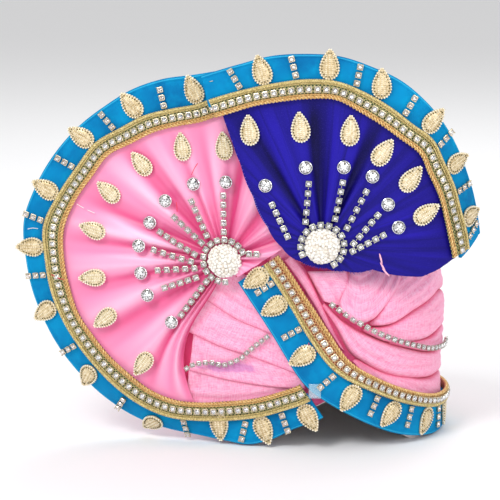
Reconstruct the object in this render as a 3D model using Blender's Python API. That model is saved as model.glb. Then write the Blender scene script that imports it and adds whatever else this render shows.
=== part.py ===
"""Tied turban pagri, doll or deity size: a stiff cap wound with cotton, two pleated satin fans,
velvet borders with gold lace, sewn stones, pearl clusters and cup chain.

Frame: metres, +Z up, X to the viewer's right, front at -Y, origin at the centre of the head opening.
The front pieces are laid out on a wall: "along" is the way along its plan curve, "up" is the height,
"out" is how far a point lies in front of it.
"""
import math

import bmesh
import bpy
import numpy as np

MM = 0.001

# Cap
CAP_R = 46.5 * MM            # outer radius of the stiff cap
CAP_WALL = 3.0 * MM
CAP_H = 92.0 * MM            # dome top
CAP_STRAIGHT = 0.62          # share of CAP_H that is upright wall
CAP_DOME_POWER = 2.1
CAP_FACET = 18               # degrees of each flat round the cap
NOTCH_H = 22.0 * MM          # inverted V at the front rim
NOTCH_HALF = 50.0            # degrees to either side of the front

# Cloth
COTTON_T = 2.6 * MM
SATIN_T = 1.2 * MM
VELVET_T = 1.6 * MM
LACE_T = 1.2 * MM
GAP = 0.35 * MM              # between two layers
FOLD_STEP = 9.0 * MM         # longest flat of a fold that bends round the cap
SWEEP = 14.0                 # degrees that the left fan is swept back

# Pink fan, radii round its pearls
PINK_ALONG = -46.0 * MM
PINK_UP = 82.3 * MM
PINK_R = 72.0 * MM
PINK_PLEAT = 1.7 * MM
PINK_LACE_W = 8.2 * MM
PINK_BORDER_W = 12.0 * MM

# Blue fan, round its own pearls
BLUE_X = -4.8 * MM
BLUE_STAND = 8.4 * MM        # hub in front of the cap wall
BLUE_UP = 90.8 * MM
BLUE_R = 64.0 * MM
BLUE_PLEAT = 1.5 * MM
BLUE_LACE_W = 8.2 * MM
BLUE_BORDER_W = 11.5 * MM

# Front band, down the front and round the rim
BAND_UP = 86.0 * MM
BAND_LACE_W = 8.0 * MM
BAND_VELVET_W = 13.5 * MM

# Trim
PATCH_L = 12.5 * MM          # beaded teardrop
PATCH_W = 7.7 * MM
PATCH_T = 1.5 * MM
SMALL_PATCH_L = 11.5 * MM
SMALL_PATCH_W = 6.6 * MM
PATCH_FIT = 0.80             # longest trim as a share of the velvet it sits on
BAR_L = 8.0 * MM
BAR_W = 2.4 * MM
STONE_D = 6.0 * MM
STONE_H = 2.4 * MM
CUP_D = 3.0 * MM
CUP_PITCH = 4.0 * MM
CUP_H = 1.9 * MM
PINK_PEARLS_R = 7.4 * MM
BLUE_PEARLS_R = 7.8 * MM
PEARLS_H = 5.2 * MM
RING_R = 9.9 * MM

COLOURS = {
    "cotton": ((0.91, 0.35, 0.53), 0.85, 0.0),
    "pink_satin": ((0.90, 0.30, 0.52), 0.35, 0.0),
    "blue_satin": ((0.03, 0.02, 0.33), 0.32, 0.0),
    "velvet": ((0.0, 0.28, 0.64), 0.75, 0.0),
    "lace": ((0.72, 0.52, 0.20), 0.40, 0.7),
    "pearl": ((0.85, 0.80, 0.68), 0.30, 0.0),
    "crystal": ((0.85, 0.87, 0.90), 0.10, 0.3),
    "cup_metal": ((0.75, 0.66, 0.48), 0.25, 1.0),
    "buckram": ((0.80, 0.76, 0.68), 0.90, 0.0),
}

# Pink fan, degrees round the hub: satin as a share of PINK_R, lace and border as shares of their
# widths, and how far the border's outer edge curls back as a share of its width.
PINK_EDGE = [
    # angle, satin, lace, border, curl
    (84, 0.900, 0.95, 1.04, 0.0),
    (90, 0.882, 1.05, 0.87, 0.0),
    (100, 0.845, 0.94, 1.04, 0.0),
    (110, 0.854, 0.94, 1.11, 0.0),
    (120, 0.878, 1.00, 1.04, 0.0),
    (130, 0.900, 1.00, 0.98, 0.0),
    (140, 0.949, 0.96, 0.87, 0.0),
    (150, 0.957, 0.98, 0.97, 0.0),
    (161, 0.993, 0.99, 0.93, 0.0),
    (172, 1.022, 1.17, 0.80, 0.0),
    (182, 1.014, 1.07, 0.81, 0.05),
    (192, 1.003, 1.08, 0.78, 0.10),
    (202, 0.996, 0.98, 0.80, 0.20),
    (211, 0.974, 1.02, 0.84, 0.30),
    (221, 0.960, 1.02, 0.84, 0.40),
    (230, 0.949, 1.08, 0.80, 0.50),
    (240, 0.949, 1.02, 0.72, 0.50),
    (250, 0.933, 1.01, 0.62, 0.45),
    (260, 0.899, 0.99, 0.66, 0.30),
    (270, 0.869, 1.04, 0.82, 0.10),
    (277, 0.862, 1.03, 0.98, 0.0),
    (284, 0.860, 1.02, 0.93, 0.0),
    (292, 0.860, 1.01, 0.78, 0.0),
    (300, 0.871, 1.00, 0.76, 0.0),
]
PINK_LAST_PLEAT = 254        # satin ends here, under the cotton folds
PINK_FIRST_PLEAT = 10        # tucked under the blue fan

# Pleats of the satin: ridges stand out, valleys lie back, as shares of the pleat height.
PINK_FOLDS = [
    # angle, rise
    (10, 0.0), (22, -1.0), (38, 0.9), (52, -0.8), (64, 0.9), (84, -0.9), (95, 0.8),
    (103, -0.5), (109, 0.6), (114, -0.4), (120, 0.7), (132, -1.0), (142, 0.9), (157, -0.9),
    (168, 1.0), (175, -0.6), (185, 0.9), (193, -0.8), (204, 1.0), (213, -0.9), (229, 1.0),
    (239, -0.8), (247, 1.0), (254, 0.2),
]
BLUE_FOLDS = [
    # angle, rise
    (-10, 0.2), (20, 0.35), (45, 0.2), (60, 0.3), (65, -1.0), (73, 0.7), (81, 1.0), (93, -1.0),
    (103, 0.6), (114, 0.8), (124, -0.7), (133, 0.8), (150, 0.3), (190, 0.2), (250, 0.0), (350, 0.1),
]

# Blue fan, degrees round its hub: satin as a share of BLUE_R, lace and border as shares of theirs.
BLUE_EDGE = [
    # angle, satin, lace, border
    (-7, 0.900, 1.25, 1.22),
    (2, 0.858, 1.28, 1.26),
    (12, 0.839, 1.10, 1.17),
    (23, 0.841, 1.04, 0.96),
    (34, 0.847, 1.04, 0.88),
    (44, 0.886, 1.00, 0.78),
    (54, 0.881, 0.98, 0.97),
    (65, 0.900, 1.04, 1.03),
    (75, 0.933, 1.04, 0.96),
    (85, 0.986, 0.93, 0.92),
    (95, 0.993, 1.00, 0.92),
    (105, 1.006, 0.98, 1.00),
    (115, 1.038, 0.94, 0.96),
    (126, 1.084, 1.03, 0.97),
    (131, 1.120, 1.04, 1.00),
]
# The blue satin's free edges: selvedge down the left, raw edge below, as shares of BLUE_R.
BLUE_FREE_EDGE = [
    # angle, reach
    (137, 0.90), (144, 0.66), (153, 0.49), (166, 0.375), (184, 0.27), (206, 0.20), (235, 0.16),
    (275, 0.165), (320, 0.25), (336, 0.385), (342, 0.66), (348, 0.80),
]
# Plan heading of the blue fan, degrees, against the way from its hub as a share of BLUE_R.
BLUE_PLAN = [
    # way, heading
    (-1.90, -14), (-0.62, -14), (-0.16, -2), (0.39, 3), (0.59, 10), (1.17, 62), (1.50, 66),
]

# Front band: lace's inner edge as along and up shares of BAND_UP, widths as shares of theirs.
BAND_ROUTE = [
    # along, up, lace, velvet
    (-0.262, 0.995, 1.00, 1.08),
    (-0.183, 0.885, 1.02, 1.08),
    (-0.094, 0.747, 1.03, 1.05),
    (-0.024, 0.624, 1.02, 1.00),
    (0.074, 0.463, 0.86, 0.96),
    (0.202, 0.366, 0.72, 0.98),
    (0.395, 0.272, 0.68, 0.93),
    (0.580, 0.222, 0.66, 0.92),
    (0.790, 0.213, 0.66, 0.92),
]
# From there the band keeps its height and widths round the rim, at degrees round from the front.
BAND_BACK = [111, 143, 175, 207, 238, 267]

# Beaded teardrops and three-stone bars on the borders.
PINK_PATCHES = [101, 122.5, 142, 163.5, 181, 200, 222.5, 245, 268, 283, 297]
PINK_BARS = [
    # angle, lean
    (112, 20), (132, 0), (151.5, 0), (171, 0), (190, 0), (211, 0), (234, 0), (256.5, 20),
    (276, -20), (290.5, 0),
]
BLUE_PATCHES = [108, 88, 70.5, 48.5, 30, 8.5]
BLUE_BARS = [(116, 0), (98, 0), (78.5, 0), (58.5, 0), (40.5, 0), (20, 0), (0.5, 0)]
BAND_PATCHES = [
    # along as a share of BAND_UP
    -0.240, -0.140, 0.005, 0.16, 0.33, 0.53,
]
BAND_BARS = [-0.190, -0.055, 0.080, 0.255, 0.430, 0.635]

# Round stones and rays of cup chain: angle and reach as shares of the fan's radius.
PINK_RAYS = [
    # angle, inner reach, outer reach, stone reach
    (90.5, 0.175, 0.395, 0.470),
    (116.0, 0.175, 0.400, 0.490),
    (139.5, 0.175, 0.395, 0.500),
    (160.0, 0.175, 0.430, 0.515),
    (176.0, 0.200, 0.445, 0.540),
    (195.0, 0.200, 0.425, 0.530),
    (212.5, 0.185, 0.420, 0.530),
    (233.0, 0.185, 0.430, 0.515),
]
BLUE_RAYS = [
    # angle, inner reach, outer reach, stone reach
    (131.0, 0.200, 0.440, 0.550),
    (102.0, 0.165, 0.430, 0.540),
    (71.5, 0.200, 0.470, 0.555),
    (51.0, 0.215, 0.470, 0.575),
    (30.0, 0.215, 0.430, 0.520),
    (10.5, 0.195, 0.415, 0.525),
]
PINK_SMALL_PATCHES = [
    # angle, reach
    (90.4, 0.725), (112.5, 0.745), (133.5, 0.780), (153.0, 0.835), (170.5, 0.850), (191.0, 0.860),
    (209.5, 0.870), (232.5, 0.845),
]
BLUE_SMALL_PATCHES = [
    # angle, reach
    (122.0, 0.915), (100.5, 0.815), (77.0, 0.800), (57.5, 0.750), (36.5, 0.745), (16.0, 0.730),
]

# Drape chains: route points chosen by hand, along and up in millimetres, in front of the wall.
LEFT_CHAIN = [(-58.5, 34.4), (-55.0, 34.8), (-50.3, 35.0), (-44.5, 36.2), (-38.9, 39.5), (-32.8, 44.6),
              (-27.6, 49.0)]
RIGHT_CHAIN = [(-0.4, 64.6), (5.8, 59.0), (12.3, 54.5), (20.2, 49.8), (27.5, 46.6), (36.2, 43.8),
               (45.0, 41.8), (54.0, 41.5), (62.0, 43.5)]

# Cotton turns round the cap, degrees round from the front, edges as shares of CAP_H.
TURNS = [
    # name, [(angle, lower, upper), ...]
    ("wrap_turn_1", [(31, 0.497, 0.503), (45, 0.465, 0.482), (60, 0.425, 0.480), (75, 0.408, 0.497),
                     (90, 0.405, 0.505), (180, 0.402, 0.520), (290, 0.402, 0.520)]),
    ("wrap_turn_2", [(16, 0.568, 0.574), (28, 0.514, 0.576), (45, 0.492, 0.624), (58, 0.488, 0.650),
                     (70, 0.502, 0.674), (90, 0.514, 0.658), (180, 0.530, 0.640), (290, 0.530, 0.640)]),
    ("wrap_turn_3", [(20, 0.594, 0.604), (30, 0.590, 0.690), (45, 0.634, 0.785), (60, 0.662, 0.800),
                     (75, 0.686, 0.800), (90, 0.670, 0.790), (180, 0.650, 0.775), (290, 0.650, 0.770)]),
    ("wrap_turn_4", [(5, 0.670, 0.690), (12, 0.605, 0.790), (20, 0.620, 0.800), (28, 0.712, 0.800)]),
]
# Folds across the top of the cap: heading in degrees, side step and width as shares of CAP_R.
TOP_FOLDS = [
    # name, step, width
    ("top_fold_1", -0.52, 0.46),
    ("top_fold_2", 0.0, 0.50),
    ("top_fold_3", 0.52, 0.46),
]
TOP_HEADING = 62.0
# Folds between two edges given as (along, up) shares of BAND_UP, on the wall.
FOLDS = [
    # name, [(lower along, lower up, upper along, upper up), ...]
    ("roll_beside_lace", [(-0.245, 0.960, -0.205, 0.985), (-0.183, 0.880, -0.140, 0.905),
                          (-0.094, 0.745, -0.074, 0.770), (-0.024, 0.620, -0.010, 0.632),
                          (0.035, 0.530, 0.060, 0.500)]),
    ("fold_under_fan", [(-0.125, 0.900, 0.065, 0.905), (-0.080, 0.820, 0.072, 0.830),
                        (-0.052, 0.772, 0.045, 0.735)]),
    ("big_fold_upper", [(-0.050, 0.735, -0.040, 0.745), (0.016, 0.630, 0.045, 0.658),
                        (0.062, 0.540, 0.127, 0.598), (0.095, 0.490, 0.200, 0.562),
                        (0.150, 0.450, 0.258, 0.536), (0.262, 0.382, 0.400, 0.485),
                        (0.517, 0.320, 0.579, 0.438), (0.800, 0.305, 0.800, 0.420)]),
    ("big_fold_lower", [(0.100, 0.450, 0.120, 0.455), (0.202, 0.320, 0.235, 0.385),
                        (0.395, 0.200, 0.400, 0.335), (0.580, 0.120, 0.580, 0.298),
                        (0.720, 0.045, 0.800, 0.292)]),
    ("panel_fold_1", [(-0.610, 0.727, -0.547, 0.884), (-0.488, 0.640, -0.440, 0.850),
                      (-0.350, 0.590, -0.350, 0.700), (-0.270, 0.560, -0.275, 0.600)]),
    ("panel_fold_2", [(-0.700, 0.545, -0.625, 0.715), (-0.571, 0.495, -0.488, 0.628),
                      (-0.409, 0.455, -0.350, 0.577), (-0.184, 0.375, -0.200, 0.500)]),
    ("panel_fold_3", [(-0.725, 0.362, -0.715, 0.533), (-0.542, 0.327, -0.571, 0.483),
                      (-0.284, 0.303, -0.409, 0.443), (-0.150, 0.315, -0.184, 0.361)]),
    ("panel_fold_4", [(-0.750, 0.130, -0.735, 0.348), (-0.542, 0.130, -0.542, 0.313),
                      (-0.400, 0.150, -0.400, 0.291), (-0.200, 0.200, -0.220, 0.284)]),
]

# The two big folds run on round the cap at their last row's heights, to this many degrees.
ROUND_FOLDS = ("big_fold_upper", "big_fold_lower")
ROUND_FOLD_END = 286.0

# Roll between the cap's left side and the swept fan: along as a share of CAP_R, degrees on the cap.
SIDE_ROLL = [(-0.740, -40), (-0.851, -48), (-0.962, -58), (-1.054, -66), (-1.128, -74)]


def lookup(rows, key, column):
    """Value of a table's column at a key, straight between rows."""
    return np.interp(key, [r[0] for r in rows], [r[column] for r in rows])


def smooth_lookup(rows, key):
    """Rounded pleat profile: a cosine between each ridge and valley."""
    keys = [r[0] for r in rows]
    values = [r[1] for r in rows]
    key = min(max(key, keys[0]), keys[-1])
    i = min(int(np.searchsorted(keys, key, side="right")) - 1, len(keys) - 2)
    t = (key - keys[i]) / (keys[i + 1] - keys[i])
    return values[i] + (values[i + 1] - values[i]) * (1 - math.cos(math.pi * t)) / 2


def wall(along, up, out):
    """Point on the front wall: round the cap, then straight off to the left, swept back."""
    turn = CAP_R * math.radians(SWEEP)
    if along >= -turn:
        angle = along / CAP_R
        shift = 0.0
    else:
        angle = -math.radians(SWEEP)
        shift = -along - turn
    r = CAP_R + out
    x = r * math.sin(angle) - shift * math.cos(angle)
    y = -r * math.cos(angle) - shift * math.sin(angle)
    return np.array([x, y, up])


def band_wall(along, up, out):
    """The wall under the front band, lifted where it passes over the pink border's end."""
    d = math.hypot(along - NOTCH_POINT[0], up - NOTCH_POINT[1])
    t = min(max((NOTCH_FAR - d) / (NOTCH_FAR - NOTCH_NEAR), 0.0), 1.0)
    return wall(along, up, out + NOTCH_LIFT * t * t * (3 - 2 * t))


def blue_plan():
    """Plan curve of the blue fan: way, x, y and heading, summed from the heading table."""
    way = np.linspace(BLUE_PLAN[0][0], BLUE_PLAN[-1][0], 681) * BLUE_R
    heading = np.radians(lookup(BLUE_PLAN, way / BLUE_R, 1))
    step = np.diff(way)
    middle = (heading[1:] + heading[:-1]) / 2
    x = np.concatenate([[0], np.cumsum(np.cos(middle) * step)])
    y = np.concatenate([[0], np.cumsum(np.sin(middle) * step)])
    x += BLUE_X - np.interp(0, way, x)
    y += -math.sqrt((CAP_R + BLUE_STAND) ** 2 - BLUE_X ** 2) - np.interp(0, way, y)
    return way, x, y, heading


BLUE_WAY, BLUE_PX, BLUE_PY, BLUE_HEAD = blue_plan()


def blue_wall(way, up, out):
    x = np.interp(way, BLUE_WAY, BLUE_PX)
    y = np.interp(way, BLUE_WAY, BLUE_PY)
    h = np.interp(way, BLUE_WAY, BLUE_HEAD)
    return np.array([x + out * math.sin(h), y - out * math.cos(h), up])


def cap_radius(up):
    """Radius of the cap's outside at a height."""
    straight = CAP_STRAIGHT * CAP_H
    if up <= straight:
        return CAP_R
    t = min((up - straight) / (CAP_H - straight), 1.0)
    return CAP_R * (1 - t ** CAP_DOME_POWER) ** (1 / CAP_DOME_POWER)


def on_cap(angle, up, out):
    """Point on the cap, an angle in degrees round from the front, out along the true normal."""
    da = 1e-4
    r = cap_radius(up)
    slope = (cap_radius(up + da) - cap_radius(max(up - da, 0))) / (up + da - max(up - da, 0))
    n = math.hypot(1, slope)
    a = math.radians(angle)
    rr = r + out / n
    return np.array([rr * math.sin(a), -rr * math.cos(a), up - out * slope / n])


def pink_point(angle, reach, out):
    a = math.radians(angle)
    return wall(PINK_ALONG + reach * math.cos(a), PINK_UP + reach * math.sin(a), out)


def blue_point(angle, reach, out):
    a = math.radians(angle)
    return blue_wall(reach * math.cos(a), BLUE_UP + reach * math.sin(a), out)


# Layers of the front, as the height of each layer's middle over the wall.
FOLD_OUT = COTTON_T / 2 + GAP
PINK_OUT = COTTON_T + GAP + PINK_PLEAT + SATIN_T
BORDER_OUT = COTTON_T + 2 * GAP + VELVET_T / 2
LACE_LIFT = VELVET_T / 2 + LACE_T / 2 + GAP
BAND_OUT = BORDER_OUT
NOTCH_LIFT = VELVET_T + GAP  # the front band passes over the pink border at the notch
NOTCH_POINT = (-9.0 * MM, 18.0 * MM)
NOTCH_NEAR = 15.0 * MM
NOTCH_FAR = 34.0 * MM


def pink_satin_out(angle, reach):
    """Height of the pink satin's middle: flat at the hub and at the lace, pleated between."""
    a = angle if angle > -90 else angle + 360
    edge = lookup(PINK_EDGE, max(a, 84), 1) * PINK_R
    t = min(reach / edge, 1.0)
    swell = math.sin(math.pi * min(t * 1.02, 1.0)) ** 0.6 if t > 0 else 0.0
    base = PINK_OUT + (BORDER_OUT - PINK_OUT) * t ** 3
    return base + PINK_PLEAT * swell * smooth_lookup(PINK_FOLDS, a)


def blue_satin_out(angle, reach):
    a = angle if angle >= -10 else angle + 360
    edge = lookup(BLUE_EDGE, min(max(a, -7), 131), 1) * BLUE_R
    t = min(reach / edge, 1.0)
    swell = math.sin(math.pi * min(t * 1.02, 1.0)) ** 0.6 if t > 0 else 0.0
    return BLUE_PLEAT * swell * smooth_lookup(BLUE_FOLDS, a)


def material(name):
    found = bpy.data.materials.get(name)
    if found:
        return found
    colour, roughness, metallic = COLOURS[name]
    mat = bpy.data.materials.new(name)
    mat.use_nodes = True
    shader = mat.node_tree.nodes["Principled BSDF"]
    shader.inputs["Base Color"].default_value = (*colour, 1)
    shader.inputs["Roughness"].default_value = roughness
    shader.inputs["Metallic"].default_value = metallic
    return mat


def add(name, points, faces, look):
    """A closed body from points and faces, faces turned outwards."""
    mesh = bpy.data.meshes.new(name)
    mesh.from_pydata([tuple(p) for p in points], [], faces)
    bm = bmesh.new()
    bm.from_mesh(mesh)
    bmesh.ops.triangulate(bm, faces=bm.faces)
    bmesh.ops.recalc_face_normals(bm, faces=bm.faces)
    if bm.calc_volume(signed=True) < 0:
        bmesh.ops.reverse_faces(bm, faces=bm.faces)
    bm.to_mesh(mesh)
    bm.free()
    mesh.materials.append(material(look))
    obj = bpy.data.objects.new(name, mesh)
    bpy.context.collection.objects.link(obj)
    return obj


def slab(name, front, back, look, closed_u=False):
    """A sheet as a closed solid: front and back grids of points, [row][column], joined all round."""
    rows = len(front)
    cols = len(front[0])
    points = [p for row in front for p in row] + [p for row in back for p in row]
    n = rows * cols

    def at(side, i, j):
        return side * n + (i % rows) * cols + j
    faces = []
    spans = rows if closed_u else rows - 1
    for i in range(spans):
        for j in range(cols - 1):
            faces.append((at(0, i, j), at(0, i, j + 1), at(0, i + 1, j + 1), at(0, i + 1, j)))
            faces.append((at(1, i, j), at(1, i + 1, j), at(1, i + 1, j + 1), at(1, i, j + 1)))
        for j in (0, cols - 1):
            faces.append((at(0, i, j), at(0, i + 1, j), at(1, i + 1, j), at(1, i, j)))
    if not closed_u:
        for i in (0, rows - 1):
            for j in range(cols - 1):
                faces.append((at(0, i, j), at(1, i, j), at(1, i, j + 1), at(0, i, j + 1)))
    return add(name, points, faces, look)


def cushion(name, rows, place, thick, look, columns=4, middle=0.0):
    """A padded strip: rows of (lower edge, upper edge) pairs, thick in its middle, thin at its edges."""
    front = []
    back = []
    for lower, upper in rows:
        line_f = []
        line_b = []
        for j in range(columns + 1):
            t = j / columns
            rise = 0.30 + 0.70 * math.sin(math.pi * t) ** 0.7
            p = [lower[0] + (upper[0] - lower[0]) * t, lower[1] + (upper[1] - lower[1]) * t]
            line_f.append(place(p[0], p[1], middle + thick * (rise - 0.5)))
            line_b.append(place(p[0], p[1], middle - thick / 2))
        front.append(line_f)
        back.append(line_b)
    return slab(name, front, back, look)


def fuse(name, base, extras):
    """Joins the extras to the base with one exact union."""
    for k, extra in enumerate(extras):
        mod = base.modifiers.new("fuse_%d" % k, "BOOLEAN")
        mod.operation = "UNION"
        mod.solver = "EXACT"
        mod.object = extra
        extra.hide_render = True
        extra.display_type = "WIRE"
    base.name = name
    return base


def joined(name, bodies, look):
    """Several bodies that do not touch, as one helper mesh."""
    points = []
    faces = []
    for body_points, body_faces in bodies:
        start = len(points)
        points += list(body_points)
        faces += [tuple(start + k for k in f) for f in body_faces]
    return add(name, points, faces, look)


def teardrop(place, length, width, thick, sink, sides=8):
    """Low teardrop boss. place(u, v, w) maps its own axes, u towards the tip, to the frame."""
    outline = []
    for k in range(sides):
        a = 2 * math.pi * k / sides
        c = math.cos(a)
        u = 0.5 * length * (0.9 * c + 0.1 * c ** 3)
        v = 0.5 * width * math.sin(a) * (1 - 0.38 * c)
        outline.append((u, v))
    points = [place(u, v, -sink) for u, v in outline]
    points += [place(u, v, thick * 0.45) for u, v in outline]
    points += [place(u * 0.55, v * 0.55, thick) for u, v in outline]
    n = sides
    faces = [tuple(range(n))[::-1]]
    for ring in (0, 1):
        for k in range(n):
            k2 = (k + 1) % n
            faces.append((ring * n + k, ring * n + k2, (ring + 1) * n + k2, (ring + 1) * n + k))
    faces.append(tuple(2 * n + k for k in range(n)))
    return points, faces


def box(place, length, width, height, sink):
    """Low bar, a little narrower at its top."""
    u = length / 2
    v = width / 2
    low = [(-u, -v), (u, -v), (u, v), (-u, v)]
    points = [place(a, b, -sink) for a, b in low]
    points += [place(a * 0.92, b * 0.8, height) for a, b in low]
    faces = [(3, 2, 1, 0), (4, 5, 6, 7)]
    for k in range(4):
        k2 = (k + 1) % 4
        faces.append((k, k2, 4 + k2, 4 + k))
    return points, faces


def cut_stone(name, place):
    """Round stone in a low setting: eight crown facets and a table."""
    sides = 8
    rings = [(0.5, 0.0), (0.5, 0.45), (0.42, 0.55), (0.24, 1.0)]
    points = []
    for r, h in rings:
        for k in range(sides):
            a = 2 * math.pi * (k + 0.5) / sides
            points.append(place(STONE_D * r * math.cos(a), STONE_D * r * math.sin(a), STONE_H * h))
    faces = [tuple(range(sides))[::-1]]
    for ring in range(len(rings) - 1):
        for k in range(sides):
            k2 = (k + 1) % sides
            faces.append((ring * sides + k, ring * sides + k2,
                          (ring + 1) * sides + k2, (ring + 1) * sides + k))
    faces.append(tuple((len(rings) - 1) * sides + k for k in range(sides)))
    return add(name, points, faces, "crystal")


def cup_strip(path, frame, closed=False):
    """Cup chain as one body: wide at each cup, narrow at each link.
    path holds (along, up) points; frame(along, up, across, out) places a point."""
    pts = np.array(path)
    if closed:
        pts = np.vstack([pts, pts[:1]])
    seg = np.hypot(*np.diff(pts, axis=0).T)
    s = np.concatenate([[0], np.cumsum(seg)])
    cups = max(1, round(s[-1] / CUP_PITCH))
    pitch = s[-1] / cups
    stations = []
    for k in range(cups):
        for share, wide, high in ((0.5, 1.0, 1.0), (1.0, 0.34, 0.45)):
            stations.append((pitch * (k + share), wide, high))
    if not closed:
        stations.insert(0, (0.0, 0.34, 0.45))
    points = []
    for way, wide, high in stations:
        c = np.array([np.interp(way, s, pts[:, 0]), np.interp(way, s, pts[:, 1])])
        e = 0.3 * MM
        lo = way - e
        hi = way + e
        if closed:
            lo, hi = lo % s[-1], hi % s[-1]
        else:
            lo, hi = max(lo, 0), min(hi, s[-1])
        d = np.array([np.interp(hi, s, pts[:, 0]) - np.interp(lo, s, pts[:, 0]),
                      np.interp(hi, s, pts[:, 1]) - np.interp(lo, s, pts[:, 1])])
        d = d / np.hypot(*d)
        side = np.array([-d[1], d[0]])
        w = CUP_D / 2 * wide
        h = CUP_H * high
        for across, out in ((-1.0, 0.0), (1.0, 0.0), (0.7, 1.0), (-0.7, 1.0)):
            q = c + side * w * across
            points.append(frame(q[0], q[1], h * out))
    n = len(stations)
    faces = []
    for i in range(n if closed else n - 1):
        i2 = (i + 1) % n
        for k in range(4):
            k2 = (k + 1) % 4
            faces.append((4 * i + k, 4 * i + k2, 4 * i2 + k2, 4 * i2 + k))
    if not closed:
        faces.append((0, 1, 2, 3))
        faces.append((4 * n - 1, 4 * n - 2, 4 * n - 3, 4 * n - 4))
    return points, faces


def local_frame(surface, along, up, heading, out):
    """Axes of a trim piece on a surface: u at a heading, v across it, w out of the cloth."""
    c = math.cos(heading)
    s = math.sin(heading)

    def place(u, v, w):
        return surface(along + u * c - v * s, up + u * s + v * c, out + w)
    return place


def band_rows():
    """Front band: inner edge, lace edge and outer edge at each row, with the widths set square to it."""
    last = BAND_ROUTE[-1]
    route = BAND_ROUTE + [last] * len(BAND_BACK)
    pts = np.array([(r[0] * BAND_UP, r[1] * BAND_UP) for r in BAND_ROUTE]
                   + [(CAP_R * math.radians(a), last[1] * BAND_UP) for a in BAND_BACK])
    rows = []
    for i, (row, p) in enumerate(zip(route, pts)):
        d = pts[min(i + 1, len(pts) - 1)] - pts[max(i - 1, 0)]
        d = d / np.hypot(*d)
        side = np.array([d[1], -d[0]])
        lace = p + side * row[2] * BAND_LACE_W
        outer = lace + side * row[3] * BAND_VELVET_W
        rows.append((p, lace, outer))
    return rows


def make_cap():
    angles = list(range(0, 360, CAP_FACET))
    rings = [None, 0.30, 0.62, 0.76, 0.87, 0.96]
    outer = []
    inner = []
    for a in angles:
        off = (a + 180) % 360 - 180
        rim = NOTCH_H * max(0.0, 1 - abs(off) / NOTCH_HALF)
        outer.append([on_cap(a, rim if h is None else max(h * CAP_H, rim), 0) for h in rings])
        inner.append([on_cap(a, rim if h is None else max(h * CAP_H, rim), -CAP_WALL) for h in rings])
    cols = len(rings)
    rows = len(angles)
    points = [p for line in outer for p in line] + [p for line in inner for p in line]
    n = rows * cols
    points += [np.array([0, 0, CAP_H]), np.array([0, 0, CAP_H - CAP_WALL])]
    faces = []
    for i in range(rows):
        i2 = (i + 1) % rows
        for j in range(cols - 1):
            faces.append((i * cols + j, i2 * cols + j, i2 * cols + j + 1, i * cols + j + 1))
            faces.append((n + i * cols + j, n + i * cols + j + 1, n + i2 * cols + j + 1, n + i2 * cols + j))
        faces.append((i * cols, n + i * cols, n + i2 * cols, i2 * cols))
        faces.append((i * cols + cols - 1, i2 * cols + cols - 1, 2 * n))
        faces.append((n + i * cols + cols - 1, 2 * n + 1, n + i2 * cols + cols - 1))
    return add("cap_shell", points, faces, "buckram")


def make_turns():
    for name, table in TURNS:
        first, last = table[0][0], table[-1][0]
        facets = range(0, 360, CAP_FACET)
        rows = []
        for a in [first] + [f for f in facets if first + 1 < f < last - 1] + [last]:
            rows.append(((a, lookup(table, a, 1) * CAP_H), (a, lookup(table, a, 2) * CAP_H)))
        cushion(name, rows, on_cap, COTTON_T, "cotton", columns=3, middle=COTTON_T / 2 + GAP)


def make_top_folds():
    """Cotton folds straight over the dome, side by side across a heading."""
    h = math.radians(TOP_HEADING)
    for name, step, width in TOP_FOLDS:
        front = []
        back = []
        edge_up = 0.845 * CAP_H
        limit = cap_radius(edge_up)
        for k in range(9):
            s = -1 + 2 * k / 8
            line_f = []
            line_b = []
            for j in range(4):
                t = j / 3
                across = (step + (t - 0.5) * width) * limit
                reach = math.sqrt(max(limit ** 2 - across ** 2, 0))
                way = s * reach * 0.98
                x = way * math.cos(h) - across * math.sin(h)
                y = way * math.sin(h) + across * math.cos(h)
                rise = 0.30 + 0.70 * math.sin(math.pi * t) ** 0.7
                line_f.append(on_dome(x, y, GAP + COTTON_T * rise))
                line_b.append(on_dome(x, y, GAP))
            front.append(line_f)
            back.append(line_b)
        slab(name, front, back, "cotton")


def dome_up(r):
    straight = CAP_STRAIGHT * CAP_H
    t = (1 - (r / CAP_R) ** CAP_DOME_POWER) ** (1 / CAP_DOME_POWER)
    return straight + t * (CAP_H - straight)


def on_dome(x, y, out):
    """Point over the dome, out along its normal."""
    r = math.hypot(x, y)
    e = 1e-5
    slope = (dome_up(r + e) - dome_up(max(r - e, 0))) / (r + e - max(r - e, 0))
    n = math.hypot(1, slope)
    up = dome_up(r) + out / n
    if r < 1e-9:
        return np.array([x, y, up])
    k = (r - out * slope / n) / r
    return np.array([x * k, y * k, up])


def make_folds():
    for name, rows in FOLDS:
        pairs = [((r[0] * BAND_UP, r[1] * BAND_UP), (r[2] * BAND_UP, r[3] * BAND_UP)) for r in rows]
        if name in ROUND_FOLDS:
            end = CAP_R * math.radians(ROUND_FOLD_END)
            pairs.append(((end, pairs[-1][0][1]), (end, pairs[-1][1][1])))
        fine = []
        for a, b in zip(pairs[:-1], pairs[1:]):
            parts = max(1, math.ceil(abs(b[0][0] - a[0][0]) / FOLD_STEP))
            for k in range(parts):
                t = k / parts
                fine.append(tuple((p[0] + (q[0] - p[0]) * t, p[1] + (q[1] - p[1]) * t)
                                  for p, q in zip(a, b)))
        fine.append(pairs[-1])
        cushion(name, fine, wall, COTTON_T, "cotton", columns=3, middle=FOLD_OUT)


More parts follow.
